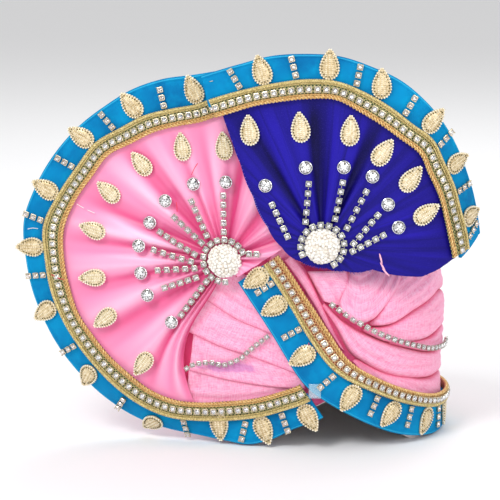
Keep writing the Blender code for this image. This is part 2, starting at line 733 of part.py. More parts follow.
def make_side_roll():
    """Wadded roll that fills the wedge between the cap's left side and the swept fan."""
    low = 0.03 * CAP_H
    high = 0.74 * CAP_H
    rows_f = []
    rows_b = []
    for share, angle in SIDE_ROLL:
        rows_f.append([wall(share * CAP_R, low, -GAP), wall(share * CAP_R, high, -GAP)])
        rows_b.append([on_cap(angle, low, COTTON_T + 2 * GAP),
                       on_cap(angle, high * 0.82, COTTON_T + 2 * GAP)])
    slab("left_side_roll", rows_f, rows_b, "cotton")


def make_fan(name, point, satin_out, angles, edge_of, look, share_rings, closed):
    front = []
    back = []
    for a in angles:
        edge = edge_of(a)
        reach = [edge * s for s in share_rings]
        front.append([point(a, r, satin_out(a, r) + SATIN_T / 2) for r in reach])
        back.append([point(a, r, satin_out(a, r) - SATIN_T / 2) for r in reach])
    return slab(name, front, back, look, closed_u=closed)


def fan_angles(folds, first, last):
    """Each ridge and valley, and the middle between two that lie far apart."""
    keys = [f[0] for f in folds if first <= f[0] <= last]
    out = []
    for a, b in zip(keys[:-1], keys[1:]):
        out.append(a)
        parts = max(1, round((b - a) / 11))
        out += [a + (b - a) * k / parts for k in range(1, parts)]
    out.append(keys[-1])
    return out


def pink_edge(a):
    """Satin runs a little way under the lace; under the blue fan it ends at a plain curve."""
    if a < 84:
        return 0.86 * PINK_R
    return lookup(PINK_EDGE, a, 1) * PINK_R + 0.36 * PINK_LACE_W


def blue_edge(a):
    if -7 <= a <= 131:
        return lookup(BLUE_EDGE, a, 1) * BLUE_R + 0.36 * BLUE_LACE_W
    a = a if a > 0 else a + 360
    rows = [(131, lookup(BLUE_EDGE, 131, 1) + 0.02)] + BLUE_FREE_EDGE + [(353, 0.90)]
    return lookup(rows, a, 1) * BLUE_R


def make_pink_fan():
    angles = fan_angles(PINK_FOLDS, PINK_FIRST_PLEAT, PINK_LAST_PLEAT)
    make_fan("pink_fan", pink_point, pink_satin_out, angles, pink_edge, "pink_satin",
             (0.06, 0.22, 0.50, 0.80, 1.0), False)


def make_blue_fan():
    angles = fan_angles(BLUE_FOLDS, -7, 137)
    angles += [140, 144, 153, 166, 184, 206, 235, 275, 308, 322, 336, 342, 348]
    make_fan("blue_fan", blue_point, blue_satin_out, angles, blue_edge, "blue_satin",
             (0.06, 0.30, 0.62, 0.82, 1.0), True)


def edge_strip(name, rows, look):
    """A sheet strip from rows of (inner point pair, outer point pair): front and back points."""
    front = [[f for f, b in row] for row in rows]
    back = [[b for f, b in row] for row in rows]
    return slab(name, front, back, look)


def pink_border():
    rows = []
    for a, satin, lace, width, curl in PINK_EDGE:
        inner = satin * PINK_R + 0.60 * lace * PINK_LACE_W
        outer = satin * PINK_R + lace * PINK_LACE_W + width * PINK_BORDER_W
        line = []
        for t in (0.0, 0.93, 1.0):
            drop = curl * PINK_BORDER_W * t * t + (0.35 * VELVET_T if t == 1.0 else 0)
            half = VELVET_T / 2 * (0.45 if t == 1.0 else 1)
            r = inner + (outer - inner) * t
            line.append((pink_point(a, r, BORDER_OUT - drop + half),
                         pink_point(a, r, BORDER_OUT - drop - half)))
        rows.append(line)
    base = edge_strip("pink_border", rows, "velvet")
    bodies = []
    for a in PINK_PATCHES:
        width = lookup(PINK_EDGE, a, 3) * PINK_BORDER_W
        bodies.append(teardrop(pink_trim(a, 0), min(PATCH_L, PATCH_FIT * width), PATCH_W, PATCH_T,
                               VELVET_T * 0.5))
    for a, lean in PINK_BARS:
        width = lookup(PINK_EDGE, a, 3) * PINK_BORDER_W
        bodies.append(box(pink_trim(a, lean), min(BAR_L, PATCH_FIT * width), BAR_W, CUP_H * 0.8,
                          VELVET_T * 0.5))
    helper = joined("pink_border_trim", bodies, "crystal")
    fuse("pink_border", base, [helper])


def pink_trim(a, lean):
    """Frame of a trim piece on the pink border, its u axis pointing outwards."""
    satin = lookup(PINK_EDGE, a, 1) * PINK_R
    lace = lookup(PINK_EDGE, a, 2) * PINK_LACE_W
    width = lookup(PINK_EDGE, a, 3) * PINK_BORDER_W
    curl = lookup(PINK_EDGE, a, 4)
    r = satin + lace + width * 0.5
    heading = math.radians(a + lean)
    rad = math.radians(a)
    inner = satin + 0.6 * lace
    outer = satin + lace + width

    def surface(along, up, out):
        d = math.hypot(along - PINK_ALONG, up - PINK_UP)
        t = min(max((d - inner) / (outer - inner), 0), 1)
        return wall(along, up, out - curl * PINK_BORDER_W * t * t)
    return local_frame(surface, PINK_ALONG + r * math.cos(rad), PINK_UP + r * math.sin(rad), heading,
                       BORDER_OUT + VELVET_T / 2)


def pink_lace():
    rows = []
    for a, satin, lace, width, curl in PINK_EDGE:
        inner = satin * PINK_R
        outer = inner + lace * PINK_LACE_W
        out = BORDER_OUT + LACE_LIFT
        rows.append([(pink_point(a, r, out + LACE_T / 2 - d), pink_point(a, r, out - LACE_T / 2 - d))
                     for r, d in ((inner, 0.0), (outer, 0.0))])
    edge_strip("pink_lace", rows, "lace")


def blue_border():
    rows = []
    for a, satin, lace, width in BLUE_EDGE:
        inner = satin * BLUE_R + 0.60 * lace * BLUE_LACE_W
        outer = satin * BLUE_R + lace * BLUE_LACE_W + width * BLUE_BORDER_W
        line = []
        for t in (0.0, 0.3, 0.6, 0.93, 1.0):
            half = VELVET_T / 2 * (0.45 if t == 1.0 else 1)
            drop = 0.35 * VELVET_T if t == 1.0 else 0
            r = inner + (outer - inner) * t
            line.append((blue_point(a, r, -drop + half), blue_point(a, r, -drop - half)))
        rows.append(line)
    base = edge_strip("blue_border", rows, "velvet")
    bodies = []
    for a in BLUE_PATCHES:
        width = lookup(BLUE_EDGE, a, 3) * BLUE_BORDER_W
        bodies.append(teardrop(blue_trim(a, 0), min(PATCH_L, PATCH_FIT * width), PATCH_W, PATCH_T,
                               VELVET_T * 0.5))
    for a, lean in BLUE_BARS:
        width = lookup(BLUE_EDGE, a, 3) * BLUE_BORDER_W
        bodies.append(box(blue_trim(a, lean), min(BAR_L, PATCH_FIT * width), BAR_W, CUP_H * 0.8,
                          VELVET_T * 0.5))
    helper = joined("blue_border_trim", bodies, "crystal")
    fuse("blue_border", base, [helper])


def blue_trim(a, lean):
    satin = lookup(BLUE_EDGE, a, 1) * BLUE_R
    lace = lookup(BLUE_EDGE, a, 2) * BLUE_LACE_W
    width = lookup(BLUE_EDGE, a, 3) * BLUE_BORDER_W
    r = satin + lace + width * 0.5
    rad = math.radians(a)
    return local_frame(blue_wall, r * math.cos(rad), BLUE_UP + r * math.sin(rad),
                       math.radians(a + lean), VELVET_T / 2)


def blue_lace():
    rows = []
    for a, satin, lace, width in BLUE_EDGE:
        inner = satin * BLUE_R
        outer = inner + lace * BLUE_LACE_W
        rows.append([(blue_point(a, r, LACE_LIFT + LACE_T / 2), blue_point(a, r, LACE_LIFT - LACE_T / 2))
                     for r in (inner, (inner + outer) / 2, outer)])
    edge_strip("blue_lace", rows, "lace")


def fine_band():
    """Band rows, with more between each pair of table rows so that it bends round the cap."""
    rows = band_rows()
    out = []
    for a, b in zip(rows[:-1], rows[1:]):
        parts = max(1, math.ceil(abs(b[0][0] - a[0][0]) / (1.4 * FOLD_STEP)))
        for k in range(parts):
            out.append([p + (q - p) * k / parts for p, q in zip(a, b)])
    out.append(list(rows[-1]))
    return out


def front_band():
    velvet = []
    lace = []
    for inner, seam, outer in fine_band():
        tuck = inner + (seam - inner) * 0.60
        line = []
        for t in (0.0, 0.93, 1.0):
            p = tuck + (outer - tuck) * t
            half = VELVET_T / 2 * (0.45 if t == 1.0 else 1)
            drop = 0.35 * VELVET_T if t == 1.0 else 0
            line.append((band_wall(p[0], p[1], BAND_OUT - drop + half),
                         band_wall(p[0], p[1], BAND_OUT - drop - half)))
        velvet.append(line)
        out = BAND_OUT + LACE_LIFT
        lace.append([(band_wall(p[0], p[1], out + LACE_T / 2), band_wall(p[0], p[1], out - LACE_T / 2))
                     for p in (inner, seam)])
    base = edge_strip("front_band", velvet, "velvet")
    edge_strip("front_band_lace", lace, "lace")
    bodies = []
    for s in BAND_PATCHES:
        bodies.append(teardrop(band_trim(s), min(PATCH_L, PATCH_FIT * BAND_VELVET_W * 0.94), PATCH_W,
                               PATCH_T, VELVET_T * 0.5))
    for s in BAND_BARS:
        bodies.append(box(band_trim(s), BAR_L, BAR_W, CUP_H * 0.8, VELVET_T * 0.5))
    helper = joined("front_band_trim", bodies, "crystal")
    fuse("front_band", base, [helper])


def band_trim(share):
    """Frame of a trim piece on the front band, at a place along its lace, pointing outwards."""
    keys = [r[0] for r in BAND_ROUTE]
    rows = band_rows()[:len(keys)]
    seam = np.array([np.interp(share, keys, [r[1][k] for r in rows]) for k in (0, 1)])
    outer = np.array([np.interp(share, keys, [r[2][k] for r in rows]) for k in (0, 1)])
    c = seam + (outer - seam) * 0.5
    heading = math.atan2(*(outer - seam)[::-1])
    return local_frame(band_wall, c[0], c[1], heading, BAND_OUT + VELVET_T / 2)


def top_of(satin_out, hub_along, hub_up, along, up, half):
    """Highest satin under a trim piece of a half width."""
    best = -1.0
    for da in (-1, 0, 1):
        for du in (-1, 0, 1):
            x = along + da * half - hub_along
            z = up + du * half - hub_up
            angle = math.degrees(math.atan2(z, x))
            angle = angle if angle > -95 else angle + 360
            best = max(best, satin_out(angle, math.hypot(x, z)))
    return best + SATIN_T / 2 + GAP


def make_trim(prefix, surface, satin_out, hub, radius, rays, patches, pearls_r):
    along0, up0 = hub

    def at(angle, reach):
        a = math.radians(angle)
        return along0 + reach * math.cos(a), up0 + reach * math.sin(a)

    for k, (angle, inner, outer, stone) in enumerate(rays, 1):
        c = at(angle, stone * radius)
        out = top_of(satin_out, along0, up0, c[0], c[1], STONE_D * 0.43)
        cut_stone("%s_round_stone_%d" % (prefix, k), local_frame(surface, c[0], c[1], 0, out))
    for k, (angle, reach) in enumerate(patches, 1):
        c = at(angle, reach * radius)
        out = top_of(satin_out, along0, up0, c[0], c[1], SMALL_PATCH_W * 0.6)
        body = teardrop(local_frame(surface, c[0], c[1], math.radians(angle), out),
                        SMALL_PATCH_L, SMALL_PATCH_W, PATCH_T, 0.0)
        add("%s_small_patch_%d" % (prefix, k), body[0], body[1], "lace")
    high = max(top_of(satin_out, along0, up0, *at(a, RING_R), CUP_D) for a in range(-90, 270, 20))
    ring = [at(a, RING_R) for a in range(-40, 280, 12)]

    def ring_place(p, q, w):
        return surface(p, q, high + w)
    base_body = cup_strip(ring, ring_place)
    base = add(prefix + "_burst", base_body[0], base_body[1], "crystal")
    helpers = []
    for angle, inner, outer, stone in rays:
        path = [at(angle, RING_R * 1.0), at(angle, outer * radius)]

        def ray_place(p, q, w, path=path):
            d = math.hypot(p - along0, q - up0)
            t = min(max((d - RING_R) / (outer * radius - RING_R), 0), 1)
            far = top_of(satin_out, along0, up0, path[1][0], path[1][1], CUP_D)
            lift = high * (1 - t) + max(high, far) * t
            return surface(p, q, lift + w)
        helpers.append(cup_strip(path, ray_place))
    helper = joined(prefix + "_rays", helpers, "crystal")
    fuse(prefix + "_burst", base, [helper])
    pearls(prefix + "_pearls", local_frame(surface, along0, up0, 0, high), pearls_r)


def pearls(name, place, radius):
    """Domed cluster of seed pearls as one low dome."""
    sides = 12
    rings = [(1.0, 0.0), (0.97, 0.25), (0.72, 0.68), (0.38, 0.93)]
    points = []
    for r, h in rings:
        for k in range(sides):
            a = 2 * math.pi * k / sides
            points.append(place(radius * r * math.cos(a), radius * r * math.sin(a), PEARLS_H * h))
    points.append(place(0, 0, PEARLS_H))
    faces = [tuple(range(sides))[::-1]]
    for ring in range(len(rings) - 1):
        for k in range(sides):
            k2 = (k + 1) % sides
            faces.append((ring * sides + k, ring * sides + k2,
                          (ring + 1) * sides + k2, (ring + 1) * sides + k))
    top = (len(rings) - 1) * sides
    for k in range(sides):
        faces.append((top + k, top + (k + 1) % sides, len(points) - 1))
    add(name, points, faces, "pearl")


def drape_chain(name, route, out):
    path = [(a * MM, u * MM) for a, u in route]
    body = cup_strip(path, lambda p, q, w: wall(p, q, out + w))
    add(name, body[0], body[1], "crystal")


def main():
    for obj in list(bpy.data.objects):
        bpy.data.objects.remove(obj, do_unlink=True)
    make_cap()
    make_turns()
    make_top_folds()
    make_folds()
    make_side_roll()
    make_pink_fan()
    make_blue_fan()
    pink_border()
    pink_lace()
    blue_border()
    blue_lace()
    front_band()
    make_trim("pink", wall, pink_satin_out, (PINK_ALONG, PINK_UP), PINK_R, PINK_RAYS,
              PINK_SMALL_PATCHES, PINK_PEARLS_R)
    make_trim("blue", blue_wall, blue_satin_out, (0.0, BLUE_UP), BLUE_R, BLUE_RAYS,
              BLUE_SMALL_PATCHES, BLUE_PEARLS_R)
    chain_out = FOLD_OUT + COTTON_T / 2 + GAP
    drape_chain("left_chain", LEFT_CHAIN, chain_out)
    drape_chain("right_chain", RIGHT_CHAIN, chain_out)


main()
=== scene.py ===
"""Looks of a ready-tied turban: cotton-wound cap, pleated satin fans, velvet borders, gold lace, stones.

Frame: metres, +Z up, X to the viewer's right, front at -Y. Front pieces are laid out on a wall, where
"along" is the way along its plan curve, "up" the height and "out" the height over the wall.
"""

import bpy
import numpy as np
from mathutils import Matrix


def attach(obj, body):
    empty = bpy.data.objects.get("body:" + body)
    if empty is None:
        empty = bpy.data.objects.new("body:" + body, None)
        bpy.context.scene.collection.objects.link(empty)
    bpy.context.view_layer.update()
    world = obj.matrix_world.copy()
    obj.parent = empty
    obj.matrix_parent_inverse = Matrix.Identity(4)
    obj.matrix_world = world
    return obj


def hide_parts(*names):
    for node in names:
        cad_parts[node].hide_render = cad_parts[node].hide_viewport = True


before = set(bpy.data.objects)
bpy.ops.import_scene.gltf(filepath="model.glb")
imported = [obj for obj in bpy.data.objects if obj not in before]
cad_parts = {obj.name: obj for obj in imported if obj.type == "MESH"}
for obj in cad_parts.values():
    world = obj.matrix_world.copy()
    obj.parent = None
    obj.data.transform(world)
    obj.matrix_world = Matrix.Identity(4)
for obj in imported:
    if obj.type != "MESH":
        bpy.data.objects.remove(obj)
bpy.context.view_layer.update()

MM = 0.001


# Cap lining. A stiff buckram cap with an inverted V cut into its front rim carries everything.
# It is a turned shell, a dome over an upright wall, open below for the head.
CAP_R = 46.5 * MM
CAP_WALL = 3.0 * MM
CAP_H = 92.0 * MM
CAP_STRAIGHT = 0.62
DOME_POWER = 2.1
NOTCH_H = 22.0 * MM
NOTCH_HALF = np.radians(50)
CAP_SIDES = 144
CAP_ROWS = 34
CROWN = 0.9985


class Sock:
    """A socket that takes part in Python arithmetic; each operator adds one Math node."""

    def __init__(self, owner, socket):
        self.owner = owner
        self.socket = socket

    def math(self, operation, *values):
        return self.owner.node("ShaderNodeMath", {"operation": operation}, dict(enumerate(values)))

    def __add__(self, other):
        return self.math("ADD", self, other)

    def __radd__(self, other):
        return self.math("ADD", other, self)

    def __sub__(self, other):
        return self.math("SUBTRACT", self, other)

    def __rsub__(self, other):
        return self.math("SUBTRACT", other, self)

    def __mul__(self, other):
        return self.math("MULTIPLY", self, other)

    def __rmul__(self, other):
        return self.math("MULTIPLY", other, self)

    def sine(self):
        return self.math("SINE", self)

    def size(self):
        return self.math("ABSOLUTE", self)

    def clamp(self):
        return self.math("MINIMUM", self.math("MAXIMUM", self, 0.0), 1.0)


class Finish:
    """A material of one Principled shader; constants are set on its sockets by name."""

    def __init__(self, name, **constants):
        self.material = bpy.data.materials.new(name)
        self.material.use_nodes = True
        self.nodes = self.material.node_tree.nodes
        self.links = self.material.node_tree.links
        self.shader = self.nodes["Principled BSDF"]
        for key, value in constants.items():
            self.shader.inputs[key.replace("_", " ")].default_value = value

    def node(self, kind, settings, values, output=0):
        """A new node: its settings first, then the values or links of its sockets."""
        made = self.nodes.new(kind)
        for key, value in settings.items():
            setattr(made, key, value)
        for key, value in values.items():
            if isinstance(value, Sock):
                self.links.new(value.socket, made.inputs[key])
            else:
                made.inputs[key].default_value = value
        return Sock(self, made.outputs[output])

    def spot(self, kind="Object"):
        """Where the pattern is read: object coordinates, or the piece's own map."""
        return self.node("ShaderNodeTexCoord", {}, {}, kind)

    def part(self, vector, axis):
        """One coordinate of a vector."""
        return self.node("ShaderNodeSeparateXYZ", {}, {"Vector": vector}, axis)

    def stretch(self, vector, scale, turn=(0, 0, 0)):
        """A place scaled along each axis and turned."""
        return self.node("ShaderNodeMapping", {},
                         {"Vector": vector, "Scale": scale, "Rotation": turn})

    def noise(self, vector, scale, detail=2.0, rough=0.5):
        """Noise of 0 to 1, its scale in repeats a metre."""
        return self.node("ShaderNodeTexNoise", {},
                         {"Vector": vector, "Scale": scale, "Detail": detail, "Roughness": rough},
                         "Fac")

    def mix(self, factor, first, second):
        """Mix of two colours, each a link or an RGB triple."""
        first, second = (c if isinstance(c, Sock) else (*c, 1.0) for c in (first, second))
        return self.node("ShaderNodeMix", {"data_type": "RGBA"},
                         {0: factor, 6: first, 7: second}, 2)

    def held(self, name):
        """A number kept on the mesh's points."""
        return self.node("ShaderNodeAttribute", {"attribute_name": name}, {}, "Fac")

    def feed(self, socket, value):
        self.links.new(value.socket, self.shader.inputs[socket])

    def bump(self, height, strength, distance):
        values = {"Height": height, "Strength": strength, "Distance": distance}
        self.feed("Normal", self.node("ShaderNodeBump", {}, values))


def build(name, chunks, finishes, uv=None, held=None):
    """Object at the origin from chunks of (points, [(faces, finish number, smooth), ...])."""
    points, loops, sizes, looks, smooth = [], [], [], [], []
    start = 0
    for body, face_sets in chunks:
        body = np.asarray(body, dtype=np.float32).reshape(-1, 3)
        points.append(body)
        for faces, look, soft in face_sets:
            faces = np.asarray(faces, dtype=np.int32)
            loops.append((faces + start).ravel())
            sizes.append(np.full(len(faces), faces.shape[1], dtype=np.int32))
            looks.append(np.full(len(faces), look, dtype=np.int32))
            smooth.append(np.full(len(faces), soft, dtype=bool))
        start += len(body)
    points, loops, sizes = np.concatenate(points), np.concatenate(loops), np.concatenate(sizes)
    mesh = bpy.data.meshes.new(name)
    mesh.vertices.add(len(points))
    mesh.vertices.foreach_set("co", points.ravel())
    mesh.loops.add(len(loops))
    mesh.loops.foreach_set("vertex_index", loops)
    mesh.polygons.add(len(sizes))
    starts = np.concatenate([[0], np.cumsum(sizes)[:-1]])
    mesh.polygons.foreach_set("loop_start", starts.astype(np.int32))
    mesh.polygons.foreach_set("use_smooth", np.concatenate(smooth))
    for finish in finishes:
        mesh.materials.append(finish.material)
    mesh.polygons.foreach_set("material_index", np.concatenate(looks))
    if uv is not None:
        layer = mesh.uv_layers.new(name="cloth")
        uv = np.asarray(uv, dtype=np.float32).reshape(-1, 2)
        layer.data.foreach_set("uv", uv[loops].ravel())
    for key, values in (held or {}).items():
        layer = mesh.attributes.new(key, "FLOAT", "POINT")
        values = np.asarray(values, dtype=np.float32)
        layer.data.foreach_set("value", values.ravel())
    mesh.update(calc_edges=True)
    made = bpy.data.objects.new(name, mesh)
    bpy.context.scene.collection.objects.link(made)
    return made


def grid(rows, columns, round_u=False, round_v=False, flip=False):
    """Quads of a grid of points, joined on itself where round."""
    i, j = np.meshgrid(np.arange(rows if round_u else rows - 1),
                       np.arange(columns if round_v else columns - 1), indexing="ij")
    i2, j2 = (i + 1) % rows, (j + 1) % columns
    quads = np.stack([i * columns + j, i2 * columns + j, i2 * columns + j2, i * columns + j2], axis=-1)
    quads = quads.reshape(-1, 4)
    return quads[:, ::-1] if flip else quads


def slab(front, back, round_u=False, flip=False, look=0):
    """Closed sheet of a front and a back grid of points, joined along all its free edges."""
    rows, columns = front.shape[:2]
    points = np.concatenate([front, back[:, ::-1]], axis=1)
    faces = [(grid(rows, 2 * columns, round_u, True, flip), look, True)]
    if not round_u:
        j = np.arange(columns - 1)
        end = np.stack([j, j + 1, 2 * columns - 2 - j, 2 * columns - 1 - j], axis=-1)
        first, last = (end[:, ::-1], end) if flip else (end, end[:, ::-1])
        faces += [(first, look, True), (last + (rows - 1) * 2 * columns, look, True)]
    return points, faces


def both(values):
    """Values of a front grid, repeated for the back of its slab."""
    return np.concatenate([values, values[:, ::-1]], axis=1)


def put(made, slot, *nodes):
    """Rides on the only body and stands for its CAD nodes, which it hides; slot is not used."""
    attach(made, "root")
    if nodes:
        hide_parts(*nodes)
    return made


def cap_radius(up):
    """Outside radius at a height: an upright wall, then a superellipse dome."""
    t = np.clip((up - CAP_STRAIGHT * CAP_H) / (CAP_H * (1 - CAP_STRAIGHT)), 0, 1)
    return CAP_R * (1 - t ** DOME_POWER) ** (1 / DOME_POWER)


def on_cap(angle, up, out):
    """Point on the cap, at an angle round from the front, out along the outline's normal."""
    angle, up, out = np.broadcast_arrays(angle, up, out)
    step = 1e-4
    slope = (cap_radius(np.minimum(up + step, CAP_H)) - cap_radius(up - step)) / (2 * step)
    slope = np.maximum(slope, -8)
    length = np.hypot(1, slope)
    r = cap_radius(up) + out / length
    return np.stack([r * np.sin(angle), -r * np.cos(angle), up - out * slope / length], axis=-1)


def notch_rim(angle):
    """Height of the cap's rim: an inverted V at the front, flat elsewhere."""
    off = np.abs((angle + np.pi) % (2 * np.pi) - np.pi)
    return NOTCH_H * np.clip(1 - off / NOTCH_HALF, 0, 1)


buckram = Finish("buckram_lining", Roughness=0.92)
spot = buckram.spot()
cloudy = buckram.noise(spot, 110.0, 4.0)
buckram.feed("Base Color", buckram.mix(cloudy, (0.80, 0.70, 0.68), (0.92, 0.86, 0.84)))
buckram.bump(buckram.noise(spot, 2600.0, 2.0), 0.35, 0.0002)

angle = np.linspace(0, 2 * np.pi, CAP_SIDES, endpoint=False)
rim = notch_rim(angle)[:, None]
rise = np.sin(np.linspace(0, 1, CAP_ROWS) ** 0.8 * np.pi / 2)[None, :]
height = rim + (CAP_H * CROWN - rim) * rise
outer = on_cap(angle[:, None], height, 0.0)
inner = on_cap(angle[:, None], height, -CAP_WALL)
inner[:, 0, 2] = rim[:, 0]
points, [(quads, look, soft)] = slab(outer, inner, round_u=True)
quads = quads[np.arange(len(quads)) % (2 * CAP_ROWS) != CAP_ROWS - 1]
last = np.arange(CAP_SIDES) * 2 * CAP_ROWS + CAP_ROWS - 1
after = np.roll(last, -1)
tip = np.full(CAP_SIDES, 2 * CAP_ROWS * CAP_SIDES)
crown = np.vstack([np.stack([last, after, tip], axis=-1),
                   np.stack([after + 1, last + 1, tip + 1], axis=-1)])
points = np.vstack([points.reshape(-1, 3), [[0, 0, CAP_H], [0, 0, CAP_H - CAP_WALL]]])
cap = build("buckram_cap", [(points, [(quads, look, soft), (crown, look, soft)])], [buckram])
put(cap, "buckram", "cap_shell")


# Cotton turns. Soft pink cotton is wound round the cap over a first plain turn in painted dark rose
# shade, in rolls with painted deep rose shade in the creases between them. Each turn is a crowned strip
# with soft wrinkles along its run.
COTTON_T = 2.6 * MM
LAYER_GAP = 0.35 * MM
CREASE_REACH = 0.8 * MM
PLEAT_RISE = 0.30 * MM
WRINKLE_RISE = 0.14 * MM
STRIP_COLUMNS = 30
FOOT_LIFT = 6.0 * MM
FOOT_REACH = np.radians(16)
UNDER_OUT = 0.33 * MM
UNDER_UP = 0.955
FULL_COTTON = 1.25
FULL_UNDER = 1.1
UNDER_RUN = 0.29
TURNS = [
    # piece, rise, steps along it, then rows of degrees from the front, lower edge and upper edge,
    # the edges as shares of the cap's height
    ("wrap_turn_1", 1.5, 190, [
        (31, 0.490, 0.506), (45, 0.450, 0.490), (60, 0.414, 0.488), (75, 0.400, 0.506),
        (90, 0.398, 0.514), (180, 0.396, 0.528), (290, 0.396, 0.528)]),
    ("wrap_turn_2", 1.7, 190, [
        (16, 0.560, 0.578), (28, 0.506, 0.586), (45, 0.484, 0.634), (58, 0.482, 0.660),
        (70, 0.496, 0.684), (90, 0.506, 0.668), (180, 0.522, 0.650), (290, 0.522, 0.650)]),
    ("wrap_turn_3", 1.8, 190, [
        (20, 0.586, 0.608), (30, 0.584, 0.720), (45, 0.628, 0.835), (60, 0.656, 0.860),
        (75, 0.678, 0.860), (90, 0.662, 0.845), (180, 0.644, 0.820), (290, 0.644, 0.810)]),
    ("wrap_turn_4", 2.2, 50, [
        (3, 0.665, 0.704), (11, 0.598, 0.850), (20, 0.612, 0.865), (30, 0.690, 0.868),
        (40, 0.775, 0.868)]),
]


def curve_through(keys, values, at):
    """Smooth curve through rows of values: cubic between keys, slopes from the neighbours."""
    keys, values = np.asarray(keys, float), np.asarray(values, float)
    slopes = np.gradient(values, keys, axis=0)
    i = np.clip(np.searchsorted(keys, at, side="right") - 1, 0, len(keys) - 2)
    wide = (slice(None),) * np.ndim(at) + (None,) * (values.ndim - 1)
    span = (keys[i + 1] - keys[i])[wide]
    t = np.clip((at - keys[i])[wide] / span, 0, 1)
    ahead = 3 * t ** 2 - 2 * t ** 3
    return ((1 - ahead) * values[i] + (t ** 3 - 2 * t ** 2 + t) * span * slopes[i]
            + ahead * values[i + 1] + (t ** 3 - t ** 2) * span * slopes[i + 1])


def way_along(points):
    """Distance from the first point to each, summed along them."""
    return np.concatenate([[0], np.cumsum(np.linalg.norm(np.diff(points, axis=0), axis=1))])


def along_rows(rows, count):
    """The same curve, through rows spaced by the distance between them."""
    rows = np.asarray(rows, float)
    way = way_along(rows)
    return curve_through(way, rows, np.linspace(0, way[-1], count))


def across(low, high, v):
    """Both coordinates of places at shares v between two edges of (rows, 2) places."""
    return tuple(low[:, k:k + 1] * (1 - v) + high[:, k:k + 1] * v for k in (0, 1))


def cloth_map(*along_and_across):
    """Map of a slab from its way along and its way across, in metres."""
    return both(np.stack(np.broadcast_arrays(*along_and_across), axis=-1))


def wander(x, y, waves, seed):
    """Smooth relief of about -1 to 1: sine waves in x, each bent by y, with seeded phases."""
    pick = np.random.default_rng(seed)
    total = 0.0
    for scale_x, scale_y, share in waves:
        phase = pick.uniform(0, 2 * np.pi, 2)
        scale_x, scale_y = np.array([scale_x, scale_y]) * pick.uniform(0.7, 1.3, 2)
        bend = 1.4 * np.sin(y * scale_y + phase[1])
        total = total + share * np.sin(x * scale_x + phase[0] + bend)
    return total


def cotton_finish(name, chain_shadow=None):
    """Matt pink cotton with slubby threads lighter by their grain and a painted highlight, painted rose
    shade in its creases, and where given a faint painted shadow cast by a drape chain.
    """
    cotton = Finish(name, Roughness=0.85, Sheen_Weight=0.2, Sheen_Roughness=0.5,
                    Sheen_Tint=(1.0, 0.86, 0.92, 1.0))
    spot = cotton.spot("UV")
    warp = cotton.noise(cotton.stretch(spot, (300.0, 2200.0, 1.0)), 1.0, 3.0, 0.6)
    weft = cotton.noise(cotton.stretch(spot, (2200.0, 300.0, 1.0)), 1.0, 3.0, 0.6)
    threads = (warp + weft) * 0.5
    cloud = cotton.noise(cotton.spot(), 55.0, 3.0)
    pale = cotton.mix(cloud, (0.86, 0.21, 0.41), (0.91, 0.29, 0.49))
    # lighter along the threads: the weave's own grain and a painted highlight on the threads
    pale = cotton.mix(((threads - 0.38) * 5.0).clamp(), pale, (0.96, 0.48, 0.66))
    # painted shade: deep rose where the crease number is high
    tint = cotton.mix(cotton.held("crease_shade").clamp(), pale, (0.72, 0.045, 0.17))
    # painted shadow: a faint purple ellipse where the left drape chain shades the panel
    if chain_shadow:
        centre, scale, turn = chain_shadow
        where = cotton.spot()
        local = cotton.node("ShaderNodeVectorMath", {"operation": "SUBTRACT"},
                            {0: where, 1: centre})
        reach = cotton.node("ShaderNodeVectorMath", {"operation": "LENGTH"},
                            {0: cotton.stretch(local, scale, turn)}, "Value")
        shadow_mask = ((1.35 - reach - cotton.noise(where, 260.0, 3.0) * 0.9) * 3.5).clamp()
        tint = cotton.mix(shadow_mask * 0.5, tint, (0.38, 0.10, 0.42))
    cotton.feed("Base Color", tint)
    cotton.bump(threads, 0.8, 0.0003)
    return cotton


def lay(made, length, fullness, held, under, with_pieces=()):
    """Works out a sheet's flat width, its own area over its length times its fullness, and keeps it
    nowhere.
    """
    area = np.empty(len(made.data.polygons), dtype=np.float32)
    made.data.polygons.foreach_get("area", area)
    flat_width = float(area.sum()) / 2 / length * fullness


def cotton_strip(name, low, high, place, node, finish, seed, rise=1.0, lip=0.2, tuck=False):
    """Crowned strip between two edges: section across, long pleats along it, and small wrinkles.
    With tuck its lower edge is a folded lip and its upper edge thins out under the next layer."""
    v = np.linspace(0, 1, STRIP_COLUMNS)[None, :]
    a, b = across(low, high, v)
    flat = place(a, b, 0.0)
    run = way_along(flat[:, STRIP_COLUMNS // 2])
    width = np.linalg.norm(flat[:, -1] - flat[:, 0], axis=1)[:, None]
    u = np.broadcast_to(run[:, None], a.shape)
    w = v * np.maximum(width, 0.1 * MM)
    edge = np.minimum(v, 1 - v) if not tuck else np.minimum(v, 0.5)
    section = (1 - (1 - np.clip(edge / lip, 0, 1)) ** 2.4) ** 0.5 * np.ones_like(a)
    if tuck:
        section = section * (1 - 0.55 * v)
    crown = COTTON_T * rise * np.clip(width / (6 * MM), 0.3, 1.0)
    pleats = wander(w, u, [(900, 55, 0.5), (1500, 70, 0.4), (2600, 90, 0.2)], seed)
    small = wander(u, w, [(300, 300, 0.5), (620, 500, 0.35), (150, 200, 0.5)], seed + 1)
    relief = (PLEAT_RISE * pleats + WRINKLE_RISE * small) * crown / COTTON_T
    out = LAYER_GAP + section * crown + np.sin(np.pi * v) ** 0.7 * relief
    body = slab(place(a, b, np.maximum(out, LAYER_GAP)), place(a, b, LAYER_GAP - 0.15 * MM))
    # painted shade: darker in the pleats' hollows and near both edges, where strips meet in creases
    hollow_shade = np.clip(-pleats, 0, 1) * 0.25 * np.sin(np.pi * v)
    near = np.exp(-np.minimum(v, 1 - v) * width / CREASE_REACH)
    crease_shade = np.clip(1.15 * near * (1 - 0.6 * v * tuck) + hollow_shade, 0, 1)
    made = build(name, [body], [finish], cloth_map(u, w), {"crease_shade": both(crease_shade)})
    return put(made, "cotton", node), run[-1]


